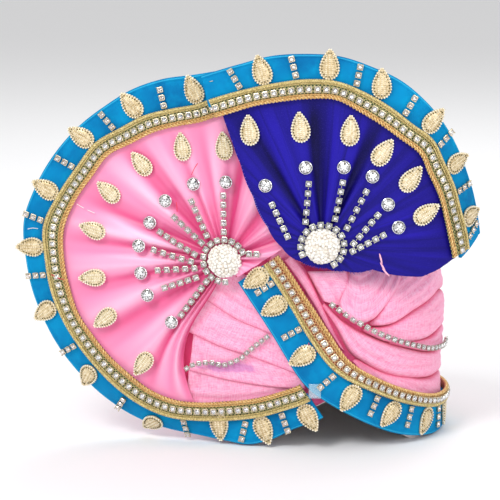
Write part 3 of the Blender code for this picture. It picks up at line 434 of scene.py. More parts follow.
cotton = cotton_finish("pink_cotton")
cotton_under = Finish("cotton_in_shade", Roughness=0.9)
spot = cotton_under.spot()
cloudy = cotton_under.noise(spot, 400.0, 3.0)
cotton_under.feed("Base Color", cotton_under.mix(cloudy, (0.62, 0.05, 0.17), (0.78, 0.12, 0.28)))
cotton_under.bump(cotton_under.noise(spot, 2400.0, 2.0), 0.3, 0.0002)

rise = np.linspace(0, 1, 40)[None, :]
foot = np.abs(np.abs((angle + np.pi) % (2 * np.pi) - np.pi) - NOTCH_HALF)[:, None]
rim = rim + 0.4 * MM + FOOT_LIFT * np.exp(-(foot / FOOT_REACH) ** 4)
height = rim + (CAP_H * UNDER_UP - rim) * rise
body = slab(on_cap(angle[:, None], height, UNDER_OUT), on_cap(angle[:, None], height, 0.08 * MM),
            round_u=True)
made = build("cotton_first_turn", [body], [cotton_under])
put(made, "cotton")
lay(made, UNDER_RUN, FULL_UNDER, "draped", ["buckram_cap"])

for seed, (name, rise, steps, table) in enumerate(TURNS):
    table = np.array(table)
    degrees = np.linspace(table[0, 0], table[-1, 0], steps)
    edges = curve_through(table[:, 0], table[:, 1:] * CAP_H, degrees)
    low, high = (np.stack([np.radians(degrees), edges[:, k]], axis=-1) for k in (0, 1))
    made, length = cotton_strip("cotton_" + name, low, high, on_cap, name, cotton, 10 + seed, rise)
    lay(made, length, FULL_COTTON, "gathered", ["cotton_first_turn"])


# Top folds. The cotton crosses the dome in three side by side folds that hide the cap's crown.
# Each is a crowned strip laid over the dome along one heading.
TOP_HEADING = np.radians(62)
TOP_LIMIT = 0.835 * CAP_H
TOP_STEPS = 90
TOP_FOLDS = [
    # piece, step to the side and width as shares of the dome's radius at TOP_LIMIT
    ("top_fold_1", -0.63, 0.70), ("top_fold_2", 0.0, 0.56), ("top_fold_3", 0.63, 0.70),
]


def on_dome(x, y, out):
    """Point over the dome above a plan place, out along the dome's normal."""
    x, y, out = np.broadcast_arrays(x, y, out)

    def dome_up(r):
        t = (1 - np.minimum(r / CAP_R, 1) ** DOME_POWER) ** (1 / DOME_POWER)
        return CAP_H * (CAP_STRAIGHT + t * (1 - CAP_STRAIGHT))

    r = np.maximum(np.hypot(x, y), 1e-6)
    step = 1e-5
    slope = (dome_up(r + step) - dome_up(r - step)) / (2 * step)
    length = np.hypot(1, slope)
    k = (r - out * slope / length) / r
    return np.stack([x * k, y * k, dome_up(r) + out / length], axis=-1)


def over_top(way, aside, out):
    """Dome point from a way along the folds' heading and a step aside from it."""
    x = way * np.cos(TOP_HEADING) - aside * np.sin(TOP_HEADING)
    y = way * np.sin(TOP_HEADING) + aside * np.cos(TOP_HEADING)
    return on_dome(x, y, out)


limit = float(cap_radius(np.array(TOP_LIMIT)))
share = np.linspace(-0.98, 0.98, TOP_STEPS)
for seed, (name, step, width) in enumerate(TOP_FOLDS):
    edges = []
    for side in (-0.5, 0.5):
        aside = (step + side * width) * limit
        reach = np.sqrt(max(limit ** 2 - aside ** 2, (0.25 * limit) ** 2))
        edges.append(np.stack([share * reach, np.full(TOP_STEPS, aside)], axis=-1))
    made, length = cotton_strip("cotton_" + name, *edges, over_top, name, cotton, 30 + seed)
    lay(made, length, FULL_COTTON, "gathered", ["cotton_first_turn"])


# Front folds. Two broad folds run from the V to the right and round the cap, a slim roll follows
# the lace, and flat shingled layers fill the panel under the pink fan.
BAND_UP = 86.0 * MM
SWEEP = np.radians(14)
ROUND_END = np.radians(286)
FOLDS = [
    # piece, rise, tucked, (lower along, lower up, upper along, upper up) as shares of BAND_UP
    ("roll_beside_lace", 0.9, False, [
        (-0.245, 0.955, -0.200, 0.990), (-0.183, 0.875, -0.135, 0.908),
        (-0.094, 0.740, -0.066, 0.772), (-0.024, 0.612, -0.004, 0.634),
        (0.035, 0.525, 0.062, 0.500)]),
    ("fold_under_fan", 1.0, False, [
        (-0.128, 0.905, 0.072, 0.910), (-0.082, 0.818, 0.080, 0.832),
        (-0.052, 0.765, 0.050, 0.735)]),
    ("big_fold_upper", 1.2, False, [
        (-0.055, 0.732, -0.040, 0.750), (0.014, 0.625, 0.047, 0.662), (0.058, 0.535, 0.130, 0.604),
        (0.092, 0.484, 0.203, 0.568), (0.148, 0.442, 0.260, 0.542), (0.262, 0.374, 0.402, 0.490),
        (0.517, 0.312, 0.580, 0.443), (0.800, 0.298, 0.800, 0.425)]),
    ("big_fold_lower", 1.25, False, [
        (0.095, 0.448, 0.122, 0.460), (0.202, 0.320, 0.238, 0.392), (0.395, 0.200, 0.402, 0.342),
        (0.580, 0.110, 0.580, 0.304), (0.720, 0.045, 0.800, 0.298)]),
    ("panel_fold_1", 1.0, True, [
        (-0.690, 0.760, -0.590, 0.884), (-0.488, 0.640, -0.440, 0.870), (-0.350, 0.590, -0.350, 0.760),
        (-0.250, 0.545, -0.230, 0.700)]),
    ("panel_fold_2", 1.0, True, [
        (-0.745, 0.565, -0.700, 0.780), (-0.571, 0.495, -0.488, 0.670), (-0.409, 0.450, -0.350, 0.620),
        (-0.160, 0.370, -0.150, 0.560)]),
    ("panel_fold_3", 1.0, True, [
        (-0.735, 0.362, -0.715, 0.570), (-0.542, 0.325, -0.571, 0.520), (-0.284, 0.300, -0.409, 0.475),
        (-0.130, 0.305, -0.150, 0.400)]),
    ("panel_fold_4", 1.0, True, [
        (-0.760, 0.120, -0.740, 0.385), (-0.542, 0.120, -0.542, 0.350), (-0.400, 0.140, -0.400, 0.325),
        (-0.180, 0.190, -0.180, 0.320)]),
]
PANEL_ALONG = (-69, -12)
PANEL_UP = (11, 76)
FLOOR_CLEAR = 0.6 * MM
# painted shadow cast by the left drape chain on the panel cotton: centre, scale along each axis, turn
CHAIN_SHADOW = ((-0.0448, -0.0480, 0.0342), (62.0, 30.0, 290.0), (0.0, 0.06, 0.0))


def wall(along, up, out):
    """Point on the front wall: round the cap, then straight off to the left, swept back."""
    along, up, out = np.broadcast_arrays(along, up, out)
    turn = np.maximum(along / CAP_R, -SWEEP)
    shift = np.maximum(-along - CAP_R * SWEEP, 0)
    r = CAP_R + out
    return np.stack([r * np.sin(turn) - shift * np.cos(turn),
                     -r * np.cos(turn) - shift * np.sin(turn), up], axis=-1)


panel_cotton = cotton_finish("pink_cotton_panel", CHAIN_SHADOW)
a, b = np.meshgrid(np.linspace(*PANEL_ALONG, 60) * MM, np.linspace(*PANEL_UP, 60) * MM,
                   indexing="ij")
# painted shade: the panel's front takes the full deep rose crease colour, seen only in the gaps between
# folds and fan
shade_front = np.concatenate([np.ones_like(a), np.zeros_like(a)], axis=1)
made = build("cotton_panel_under", [slab(wall(a, b, UNDER_OUT), wall(a, b, 0.05 * MM))], [cotton],
             cloth_map(a, b), {"crease_shade": shade_front})
put(made, "cotton")
lay(made, (PANEL_ALONG[1] - PANEL_ALONG[0]) * MM, 1.0, "stretched", ["buckram_cap"])
rolls = []
for seed, (name, rise, tuck, rows) in enumerate(FOLDS):
    rows = np.array(rows) * BAND_UP
    round_cap = name.startswith("big")
    if round_cap:
        rows = np.vstack([rows, [CAP_R * ROUND_END, rows[-1, 1], CAP_R * ROUND_END, rows[-1, 3]]])
    edges = along_rows(rows, 200 if round_cap else 70)
    edges[:, (1, 3)] = np.maximum(edges[:, (1, 3)], FLOOR_CLEAR)
    made, length = cotton_strip("cotton_" + name, edges[:, :2], edges[:, 2:], wall, name,
                                panel_cotton if tuck else cotton, 50 + 3 * seed, rise,
                                0.10 if tuck else 0.2, tuck)
    if name == "roll_beside_lace":
        rolls.append(made)
        continue
    lay(made, length, FULL_COTTON, "folded" if tuck else "gathered", ["cotton_first_turn"],
        rolls if name == "big_fold_upper" else ())


# Side roll. A wadded cotton roll fills the wedge between the cap's left side and the swept fan.
# It is a closed cushion between the fan's wall and the cap.
SIDE_ROLL = [(-0.740, -40), (-0.851, -48), (-0.962, -58), (-1.054, -66), (-1.128, -74)]
ROLL_LOW = 0.03 * CAP_H
ROLL_HIGH = 0.74 * CAP_H

route = along_rows([(s * CAP_R, np.radians(d)) for s, d in SIDE_ROLL], 40)
v = np.linspace(0, 1, 60)[None, :]
up = ROLL_LOW + (ROLL_HIGH - ROLL_LOW) * v
front = wall(route[:, :1], up, -LAYER_GAP)
back = on_cap(route[:, 1:], up * (1 - 0.18 * v), COTTON_T + 2 * LAYER_GAP)
middle = (front + back) / 2
soft = (1 - (2 * v - 1) ** 6)[..., None] * 0.92 + 0.08
front = middle + (front - middle) * soft
back = middle + (back - middle) * soft
uv = cloth_map(route[:, :1], up)
# painted shade: deep rose where the roll is pinched
pinch_shade = wander(up, route[:, :1], [(500, 90, 0.6), (900, 130, 0.4)], 91)
pinch_shade = np.broadcast_to(np.clip(pinch_shade, 0, 1) * 0.3, front.shape[:2])
made = build("cotton_side_roll", [slab(front, back)], [cotton], uv, {"crease_shade": both(pinch_shade)})
put(made, "cotton", "left_side_roll")


# Pink satin fan. Heavy pink satin is pleated round its hub and stretched flat at the lace.
# Ridges have a painted highlight almost white, valleys and the hub a painted deep rose shade, and finer
# creases run down to the hub.
SATIN_T = 1.2 * MM
FAN_ROWS = 64
VELVET_T = 1.6 * MM
LACE_T = 1.2 * MM
PINK_HUB = (-46.0 * MM, 82.3 * MM)
PINK_R = 72.0 * MM
PINK_PLEAT = 1.7 * MM
PINK_LACE_W = 8.2 * MM
PINK_BORDER_W = 12.0 * MM
PINK_OUT = COTTON_T + LAYER_GAP + PINK_PLEAT + SATIN_T
BORDER_OUT = COTTON_T + 2 * LAYER_GAP + VELVET_T / 2
LACE_LIFT = VELVET_T / 2 + LACE_T / 2 + LAYER_GAP
PINK_EDGE = np.array([
    # degrees, satin as a share of PINK_R, lace and border as shares of their widths, outer curl
    (84, 0.900, 0.95, 1.04, 0.0), (90, 0.882, 1.05, 0.87, 0.0), (100, 0.845, 0.94, 1.04, 0.0),
    (110, 0.854, 0.94, 1.11, 0.0), (120, 0.878, 1.00, 1.04, 0.0), (130, 0.900, 1.00, 0.98, 0.0),
    (140, 0.949, 0.96, 0.87, 0.0), (150, 0.957, 0.98, 0.97, 0.0), (161, 0.993, 0.99, 0.93, 0.0),
    (172, 1.022, 1.17, 0.80, 0.0), (182, 1.014, 1.07, 0.81, 0.05), (192, 1.003, 1.08, 0.78, 0.10),
    (202, 0.996, 0.98, 0.80, 0.20), (211, 0.974, 1.02, 0.84, 0.30), (221, 0.960, 1.02, 0.84, 0.40),
    (230, 0.949, 1.08, 0.80, 0.50), (240, 0.949, 1.02, 0.72, 0.50), (250, 0.933, 1.01, 0.62, 0.45),
    (260, 0.899, 0.99, 0.66, 0.30), (270, 0.869, 1.04, 0.82, 0.10), (277, 0.862, 1.03, 0.98, 0.0),
    (284, 0.860, 1.02, 0.93, 0.0), (292, 0.860, 1.01, 0.78, 0.0), (300, 0.871, 1.00, 0.76, 0.0),
])
PINK_FOLDS = [
    # degrees, rise of the ridge or valley
    (-51, 0.8), (-20, 0.8), (0, -0.9), (9, 0.8), (22, -1.0), (38, 0.9), (52, -0.8), (64, 0.9),
    (84, -0.9), (95, 0.8), (103, -0.5), (109, 0.6), (114, -0.4), (120, 0.7), (132, -1.0),
    (142, 0.9), (157, -0.9),
    (168, 1.0), (175, -0.6), (185, 0.9), (193, -0.8), (204, 1.0), (213, -0.9), (229, 1.0),
    (238, -0.8), (244, 0.6), (248, -0.3), (252.5, 1.0), (256, -1.1), (257.5, -1.1),
]
PINK_FREE_EDGE = [
    # degrees, reach in millimetres: a free flap right of the hub, then hidden by the blue fan
    (-51, 9.0), (-30, 10.0), (-14, 12.1), (0, 16.2), (5, 18.7), (12, 24.3), (20, 38.0),
    (30, 62.0), (84, 62.0),
]
PINK_BOW_FROM = 229
PINK_BOW = 15
PINK_BOW_REACH = 0.92 * PINK_R
TUCKED_UNDER = 0.36
FULL_SATIN = 1.15
PINK_RUN = 0.20


def pleat(folds, degrees):
    """Rounded pleats: a cosine between each ridge and valley of the table."""
    keys, values = np.array(folds, float).T
    i = np.clip(np.searchsorted(keys, degrees, side="right") - 1, 0, len(keys) - 2)
    t = np.clip((degrees - keys[i]) / (keys[i + 1] - keys[i]), 0, 1)
    return values[i] + (values[i + 1] - values[i]) * (1 - np.cos(np.pi * t)) / 2


def swell_of(share):
    """Pleats die out at the hub and at the lace and are full between."""
    return np.sin(np.pi * np.clip(share * 1.02, 0, 1)) ** 0.6


def pink_edge(degrees, column):
    """A column of the pink fan's edge table at an angle round the hub."""
    return curve_through(PINK_EDGE[:, 0], PINK_EDGE[:, column],
                         np.maximum(degrees, PINK_EDGE[0, 0]))


def pink_point(degrees, reach, out):
    """Wall point at an angle and reach round the hub; the free right edge bows to the left."""
    late = np.clip((degrees - PINK_BOW_FROM) / (PINK_FOLDS[-1][0] - PINK_BOW_FROM), 0, 1)
    bow = PINK_BOW * late * np.sin(np.pi * np.clip(reach / PINK_BOW_REACH, 0, 1))
    a = np.radians(degrees - bow)
    return wall(PINK_HUB[0] + reach * np.cos(a), PINK_HUB[1] + reach * np.sin(a), out)


def pink_satin_out(degrees, reach):
    """Height of the pink satin's middle: flat at the hub and at the lace, pleated between."""
    share = np.minimum(reach / (pink_edge(degrees, 1) * PINK_R), 1)
    base = PINK_OUT + (BORDER_OUT - PINK_OUT) * share ** 3
    return base + PINK_PLEAT * swell_of(share) * pleat(PINK_FOLDS, degrees)


def satin_creases(degrees, share, seed):
    """Fine creases that run in to the hub, each fading in and out on its way."""
    pick = np.random.default_rng(seed)
    turn = np.radians(degrees)
    total = 0.0
    for waves in (27, 39, 55, 83):
        phase = pick.uniform(0, 2 * np.pi, 3)
        bend = 0.5 * np.sin(share * 3.1 + phase[0])
        fade = 0.5 + 0.5 * np.sin(share * 5 + turn * pick.uniform(3, 9) + phase[1])
        total = total + np.sin(turn * waves + bend + phase[2]) * fade * 27 / waves
    return total / 2


def satin_fan(name, degrees, edge, satin_out, point, folds, seed, finish, fine, round_u=False):
    """Pleated sheet from hub to edge, with a number kept for its finish that sets painted highlight on
    the ridges and painted shade in the valleys and creases.
    """
    shares = np.linspace(0.05, 1.0, FAN_ROWS)
    share = shares[None, :]
    reach = edge[:, None] * share
    turn = degrees[:, None] * np.ones_like(reach)
    creases = satin_creases(turn, share, seed)
    middle = satin_out(turn, reach) + fine * MM * swell_of(share) * creases
    uv = np.stack([np.radians(turn) * PINK_R, reach], axis=-1)
    depth = pleat(folds, turn) * swell_of(share)
    # painted light: 0 for highlight on the ridges, 1 for shade in the valleys and creases
    ridge = np.clip(0.5 - 0.42 * depth - 0.30 * creases * swell_of(share), 0, 1)
    body = slab(point(turn, reach, middle + SATIN_T / 4), point(turn, reach, middle - SATIN_T / 4),
                round_u, True)
    return build(name, [body], [finish], both(uv),
                 {"crease_shade": both(ridge), "share": both(share * np.ones_like(turn))})


pink_satin = Finish("pink_satin", Sheen_Weight=0.15, Coat_Roughness=0.35, Coat_Weight=0.25,
                    Specular_IOR_Level=0.55)
spot = pink_satin.spot("UV")
grain = pink_satin.noise(pink_satin.stretch(spot, (2600.0, 260.0, 1.0)), 1.0, 2.0, 0.6)
# painted highlight almost white on the ridges, painted deep rose shade in the valleys and creases,
# deepening round the hub
crease_shade = pink_satin.held("crease_shade") + (0.55 - pink_satin.held("share")).clamp() * 0.5
pale = pink_satin.mix((crease_shade * 2.0).clamp(), (0.94, 0.50, 0.68), (0.87, 0.25, 0.46))
deep = pink_satin.mix(((crease_shade - 0.5) * 2.0).clamp(), pale, (0.66, 0.035, 0.18))
hub = (1.0 - pink_satin.held("share") * 2.2).clamp()
pink_satin.feed("Base Color", pink_satin.mix(hub * 0.85, deep, (0.70, 0.03, 0.18)))
pink_satin.feed("Roughness", 0.30 + grain * 0.14)
pink_satin.bump(grain, 0.22, 0.00012)

degrees = np.concatenate([np.linspace(-51, 30, 110), np.linspace(30.5, 257.5, 420)])
free = np.interp(degrees, *np.array(PINK_FREE_EDGE, float).T) * MM
satin_edge = np.where(degrees < PINK_EDGE[0, 0], free,
                      pink_edge(degrees, 1) * PINK_R + TUCKED_UNDER * PINK_LACE_W)
pink_fan = satin_fan("pink_satin_fan", degrees, satin_edge, pink_satin_out, pink_point, PINK_FOLDS,
                     7, pink_satin, 0.32)
put(pink_fan, "pink_satin", "pink_fan")
lay(pink_fan, PINK_RUN, FULL_SATIN, "gathered", ["cotton_panel_under"])


# Blue satin fan. Royal blue satin stands in front of the cap, with a stitched selvedge down its
# left and a raw, fraying edge below its hub. It is smoother than the pink, pleated at its top.
BLUE_HUB = (0.0, 90.8 * MM)
BLUE_X = -4.8 * MM
BLUE_STAND = 8.4 * MM
BLUE_R = 64.0 * MM
BLUE_PLEAT = 1.5 * MM
BLUE_LACE_W = 8.2 * MM
BLUE_BORDER_W = 11.5 * MM
BLUE_EDGE = np.array([
    # degrees, satin as a share of BLUE_R, lace and border as shares of their widths
    (-7, 0.900, 1.25, 1.22), (2, 0.858, 1.28, 1.26), (12, 0.839, 1.10, 1.17),
    (23, 0.841, 1.04, 0.96), (34, 0.847, 1.04, 0.88), (44, 0.886, 1.00, 0.78),
    (54, 0.881, 0.98, 0.97), (65, 0.900, 1.04, 1.03), (75, 0.933, 1.04, 0.96),
    (85, 0.986, 0.93, 0.92), (95, 0.993, 1.00, 0.92), (105, 1.006, 0.98, 1.00),
    (115, 1.038, 0.94, 0.96), (126, 1.084, 1.03, 0.97), (131, 1.120, 1.04, 1.00),
])
BLUE_FREE_EDGE = [
    # degrees, reach as a share of BLUE_R: selvedge down the left, raw edge below
    (127.4, 1.110), (131, 0.920), (135, 0.770), (144.6, 0.566), (161.3, 0.384), (182.7, 0.269),
    (216.6, 0.180), (250, 0.148), (280.8, 0.155), (310, 0.222), (334, 0.370), (336.5, 0.490),
    (341.7, 0.700), (346.5, 0.795), (352.3, 0.914),
]
BLUE_LACED_TO = 127.4
BLUE_RUN = 0.11
BLUE_PLAN = [
    # way from the hub as a share of BLUE_R, heading in degrees
    (-1.90, -14), (-0.62, -14), (-0.16, -2), (0.39, 3), (0.59, 10), (1.17, 62), (1.50, 66),
]
BLUE_FOLDS = [
    # degrees, rise of the ridge or valley
    (-10, 0.2), (20, 0.35), (45, 0.2), (60, 0.3), (65, -1.0), (73, 0.7), (81, 1.0), (93, -1.0),
    (103, 0.6), (114, 0.8), (124, -0.7), (133, 0.8), (150, 0.3), (190, 0.2), (250, 0.0), (350, 0.1),
]

keys, values = np.array(BLUE_PLAN).T
plan_way = np.linspace(keys[0], keys[-1], 681) * BLUE_R
plan_heading = np.radians(np.interp(plan_way / BLUE_R, keys, values))
middle = (plan_heading[1:] + plan_heading[:-1]) / 2
plan_x = np.concatenate([[0], np.cumsum(np.cos(middle) * np.diff(plan_way))])
plan_y = np.concatenate([[0], np.cumsum(np.sin(middle) * np.diff(plan_way))])
plan_x += BLUE_X - np.interp(0, plan_way, plan_x)
plan_y -= np.sqrt((CAP_R + BLUE_STAND) ** 2 - BLUE_X ** 2) + np.interp(0, plan_way, plan_y)


def blue_wall(way, up, out):
    """Point on the blue fan's wall: its plan curve is summed from the headings of BLUE_PLAN."""
    way, up, out = np.broadcast_arrays(way, up, out)
    h = np.interp(way, plan_way, plan_heading)
    return np.stack([np.interp(way, plan_way, plan_x) + out * np.sin(h),
                     np.interp(way, plan_way, plan_y) - out * np.cos(h), up], axis=-1)


def blue_edge(degrees, column):
    """A column of the blue fan's edge table at an angle round the hub."""
    ends = BLUE_EDGE[(0, -1), 0]
    return curve_through(BLUE_EDGE[:, 0], BLUE_EDGE[:, column], np.clip(degrees, *ends))


def blue_point(degrees, reach, out):
    """Point of the blue fan's wall at an angle and reach round its hub."""
    a = np.radians(degrees)
    return blue_wall(BLUE_HUB[0] + reach * np.cos(a), BLUE_HUB[1] + reach * np.sin(a), out)


def blue_satin_out(degrees, reach):
    """Height of the blue satin's middle over its own wall."""
    share = np.minimum(reach / (blue_edge(degrees, 1) * BLUE_R), 1)
    return BLUE_PLEAT * swell_of(share) * pleat(BLUE_FOLDS, degrees)


def blue_reach(degrees):
    """Edge of the blue satin all round: under the lace, then down the selvedge and the raw edge."""
    laced = blue_edge(degrees, 1) * BLUE_R + TUCKED_UNDER * BLUE_LACE_W
    free = np.interp(degrees, *np.array(BLUE_FREE_EDGE, float).T) * BLUE_R
    frayed = 0.22 * MM * np.sin(degrees * 2.1) * np.sin(degrees * 0.83 + 1) * (degrees > 200)
    return np.where(degrees <= BLUE_LACED_TO, laced, free + frayed)


blue_satin = Finish("blue_satin", Specular_IOR_Level=0.12)
spot = blue_satin.spot("UV")
grain = blue_satin.noise(blue_satin.stretch(spot, (2400.0, 380.0, 1.0)), 1.0, 3.0, 0.65)
glint = blue_satin.noise(blue_satin.stretch(spot, (1700.0, 1700.0, 1.0)), 1.0, 2.0, 0.7)
crease_shade = blue_satin.held("crease_shade")
streak_shade = blue_satin.noise(blue_satin.stretch(spot, (330.0, 16.0, 1.0)), 1.0, 3.0, 0.6)
# painted shade near black in the valleys and in dark streaks down the pleats, and painted glints of
# light blue
tone = blue_satin.mix((crease_shade * 1.5 - 0.3).clamp(), (0.014, 0.007, 0.31), (0.002, 0.001, 0.050))
tone = blue_satin.mix(((streak_shade - 0.5) * 4.0).clamp() * 0.65, tone, (0.004, 0.002, 0.08))
tone = blue_satin.mix(((glint - 0.56) * 5.0).clamp() * 0.35, tone, (0.06, 0.04, 0.50))
blue_satin.feed("Base Color", tone)
blue_satin.feed("Roughness", 0.36 + grain * 0.2)
blue_satin.bump(grain, 0.3, 0.00012)

degrees = np.concatenate([np.linspace(-7, BLUE_LACED_TO, 300), np.linspace(127.8, 352.3, 260)])
blue_fan = satin_fan("blue_satin_fan", degrees, blue_reach(degrees), blue_satin_out, blue_point,
                     BLUE_FOLDS, 21, blue_satin, 0.20, True)
put(blue_fan, "blue_satin", "blue_fan")
lay(blue_fan, BLUE_RUN, FULL_SATIN, "gathered", ["pink_satin_fan"])


# Velvet borders. Sky blue velvet is folded over along the outer edge of each fan and of the front
# band, with a painted highlight line on the fold and painted patches of sheen and shade where the nap
# turns.
BAND_LACE_W = 8.0 * MM
BAND_VELVET_W = 13.5 * MM
NOTCH_LIFT = VELVET_T + LAYER_GAP
NOTCH_POINT = (-9.0 * MM, 18.0 * MM)
NOTCH_NEAR = 15.0 * MM
NOTCH_FAR = 34.0 * MM
BAND_ROUTE = [
    # inner edge of the lace, along and up as shares of BAND_UP, then the lace's and the velvet's
    # widths as shares of theirs
    (-0.262, 0.995, 1.00, 1.08), (-0.183, 0.885, 1.02, 1.08), (-0.094, 0.747, 1.03, 1.05),
    (-0.024, 0.624, 1.02, 1.00), (0.074, 0.463, 0.86, 0.96), (0.202, 0.366, 0.72, 0.98),
    (0.395, 0.272, 0.68, 1.02), (0.580, 0.222, 0.66, 0.95), (0.790, 0.213, 0.66, 0.92),
]
BAND_BACK = (111, 143, 175, 207, 238, 267)
UNDER_LACE = 0.6
BLUE_CUT_LEFT = -4.6
BLUE_CUT_RIGHT = 8.0
FULL_VELVET = 1.0


def band_wall(along, up, out):
    """The wall under the front band, lifted where it passes over the pink border's end."""
    far = np.hypot(along - NOTCH_POINT[0], up - NOTCH_POINT[1])
    t = np.clip((NOTCH_FAR - far) / (NOTCH_FAR - NOTCH_NEAR), 0, 1)
    return wall(along, up, out + NOTCH_LIFT * t * t * (3 - 2 * t))


def velvet_strip(name, place, inner, outer, base, node, curl=0.0):
    """Velvet between two edges as (rows, 2) wall places: padded, with a rolled outer fold."""
    t = np.concatenate([np.linspace(0, 0.86, 14), np.linspace(0.875, 1.0, 11)])[None, :]
    a, b = across(inner, outer, t)
    flat = place(a, b, base)
    run = way_along(flat[:, t.size // 2])[:, None]
    width = np.linalg.norm(flat[:, -1] - flat[:, 0], axis=1)[:, None]
    round_off = np.sqrt(np.clip(1 - np.clip((t - 0.93) / 0.07, 0, 1) ** 2, 0.03, 1))
    fold = 0.22 * np.exp(-((t - 0.945) / 0.03) ** 2) - 0.25 * np.exp(-((t - 0.875) / 0.025) ** 2)
    waves = wander(run, t * width, [(260, 300, 0.6), (520, 250, 0.4), (95, 100, 0.6)], len(name))
    half = VELVET_T / 2 * round_off
    swell = np.sin(np.pi * np.clip(t, 0.03, 0.97)) ** 0.3
    face = half + (fold * MM + 0.16 * MM * waves) * swell
    middle = base - curl * t ** 2
    body = slab(place(a, b, middle + face), place(a, b, middle - half), flip=node != "front_band")
    made = build(name, [body], [velvet], cloth_map(run, t * width),
                 {"across": both(t * np.ones_like(a))})
    return put(made, "velvet", node), float(run[-1, 0])


velvet = Finish("sky_velvet", Roughness=0.8, Specular_IOR_Level=0.12, Sheen_Weight=0.15,
                Sheen_Roughness=0.35, Sheen_Tint=(0.05, 0.70, 1.0, 1.0))
spot = velvet.spot()
nap = velvet.noise(velvet.stretch(spot, (1.0, 1.0, 1.0), (0.4, 0.2, 0.6)), 150.0, 3.0, 0.55)
patch = velvet.noise(spot, 62.0, 2.0, 0.5)
pile = velvet.noise(spot, 3200.0, 2.0, 0.6)
# painted shade and sheen: darker patches and lighter streaks of the turning nap
tone = velvet.mix((patch * 2.4 - 0.75).clamp(), (0.0, 0.14, 0.36), (0.0, 0.26, 0.54))
tone = velvet.mix(((nap - 0.5) * 3.0).clamp() * 0.6, tone, (0.0, 0.34, 0.62))
# painted highlight: a bright line along the rolled fold
line = 1.0 - ((velvet.held("across") - 0.955) * 45.0).size()
velvet.feed("Base Color", velvet.mix(line.clamp() * 0.8, tone, (0.04, 0.47, 0.72)))
velvet.bump(pile * 0.7 + nap * 0.3, 0.5, 0.0003)

degrees = np.linspace(84, 302, 330)
satin, lace, border, curl = (pink_edge(degrees, k) for k in (1, 2, 3, 4))


def hub_places(hub, degrees, reach):
    """Wall places at an angle and reach round a hub."""
    a = np.radians(degrees)
    return np.stack([hub[0] + reach * np.cos(a), hub[1] + reach * np.sin(a)], axis=-1)


pink_degrees = degrees
pink_seam = satin * PINK_R + lace * PINK_LACE_W
pink_lace_in = hub_places(PINK_HUB, degrees, satin * PINK_R)
pink_lace_out = hub_places(PINK_HUB, degrees, pink_seam)
made, length = velvet_strip(
    "pink_velvet_border", wall,
    hub_places(PINK_HUB, degrees, satin * PINK_R + UNDER_LACE * lace * PINK_LACE_W),
    hub_places(PINK_HUB, degrees, pink_seam + border * PINK_BORDER_W), BORDER_OUT, "pink_border",
    (curl * PINK_BORDER_W)[:, None])
lay(made, length, FULL_VELVET, "folded", ["cotton_panel_under"])

degrees = np.linspace(-7, 129.8, 240)
satin, lace, border = (blue_edge(degrees, k) for k in (1, 2, 3))
blue_degrees = degrees
blue_seam = satin * BLUE_R + lace * BLUE_LACE_W
blue_outer = blue_seam + border * BLUE_BORDER_W
slant = (BLUE_CUT_LEFT * np.clip((degrees - 118) / 13, 0, 1) ** 2
         + BLUE_CUT_RIGHT * np.clip((10 - degrees) / 17, 0, 1) ** 2)


def cut_aslant(reach, share):
    """Places of a blue edge whose two ends are cut aslant, by a share of the whole slant."""
    turned = degrees + share * slant
    return hub_places(BLUE_HUB, turned, np.interp(turned, degrees, reach))


blue_lace_in = hub_places(BLUE_HUB, degrees, satin * BLUE_R)
blue_lace_out = cut_aslant(blue_seam, 0.45)
made, length = velvet_strip(
    "blue_velvet_border", blue_wall,
    hub_places(BLUE_HUB, degrees, satin * BLUE_R + UNDER_LACE * lace * BLUE_LACE_W),
    cut_aslant(blue_outer, 1.0), 0.0, "blue_border")
lay(made, length, FULL_VELVET, "folded", ["blue_satin_fan"])

last = BAND_ROUTE[-1]
route = np.array(BAND_ROUTE + [last] * len(BAND_BACK))
places = np.array([(r[0] * BAND_UP, r[1] * BAND_UP) for r in BAND_ROUTE]
                  + [(CAP_R * np.radians(d), last[1] * BAND_UP) for d in BAND_BACK])
side = np.vstack([places[1:2] - places[:1], places[2:] - places[:-2], places[-1:] - places[-2:-1]])
side = np.stack([side[:, 1], -side[:, 0]], axis=-1) / np.linalg.norm(side, axis=1)[:, None]
seam = places + side * route[:, 2:3] * BAND_LACE_W
hem = seam + side * route[:, 3:4] * BAND_VELVET_W
band = along_rows(np.hstack([places, seam, hem]), 420)
band_in, band_seam, band_hem = band[:, :2], band[:, 2:4], band[:, 4:]
made, length = velvet_strip("front_velvet_band", band_wall,
                            band_in * (1 - UNDER_LACE) + band_seam * UNDER_LACE,
                            band_hem, BORDER_OUT, "front_band")
lay(made, length, FULL_VELVET, "folded", ["cotton_big_fold_lower"])


# Gold lace. Each velvet seam carries woven gold lace: a net ground, a braided cord along its outer
# edge, twisted cords along its inner edge and, in its middle, a row of square-set cup stones.
CUP_PITCH_ON_LACE = 3.7 * MM
LACE_CORDS = [
    # share of the lace's width, lift, strand and lay in millimetres, strands, finish
    (0.075, 0.30, 0.44, 3.2, 2, 2), (0.205, 0.15, 0.24, 2.0, 2, 2),
    (0.92, 0.30, 0.40, 3.4, 3, 1), (0.785, 0.15, 0.22, 2.0, 2, 1),
]
CORD_SIDES = 6
CORD_STEPS = 9
NET_PITCH = 0.55 * MM
GROUND_SINK = 0.4 * MM


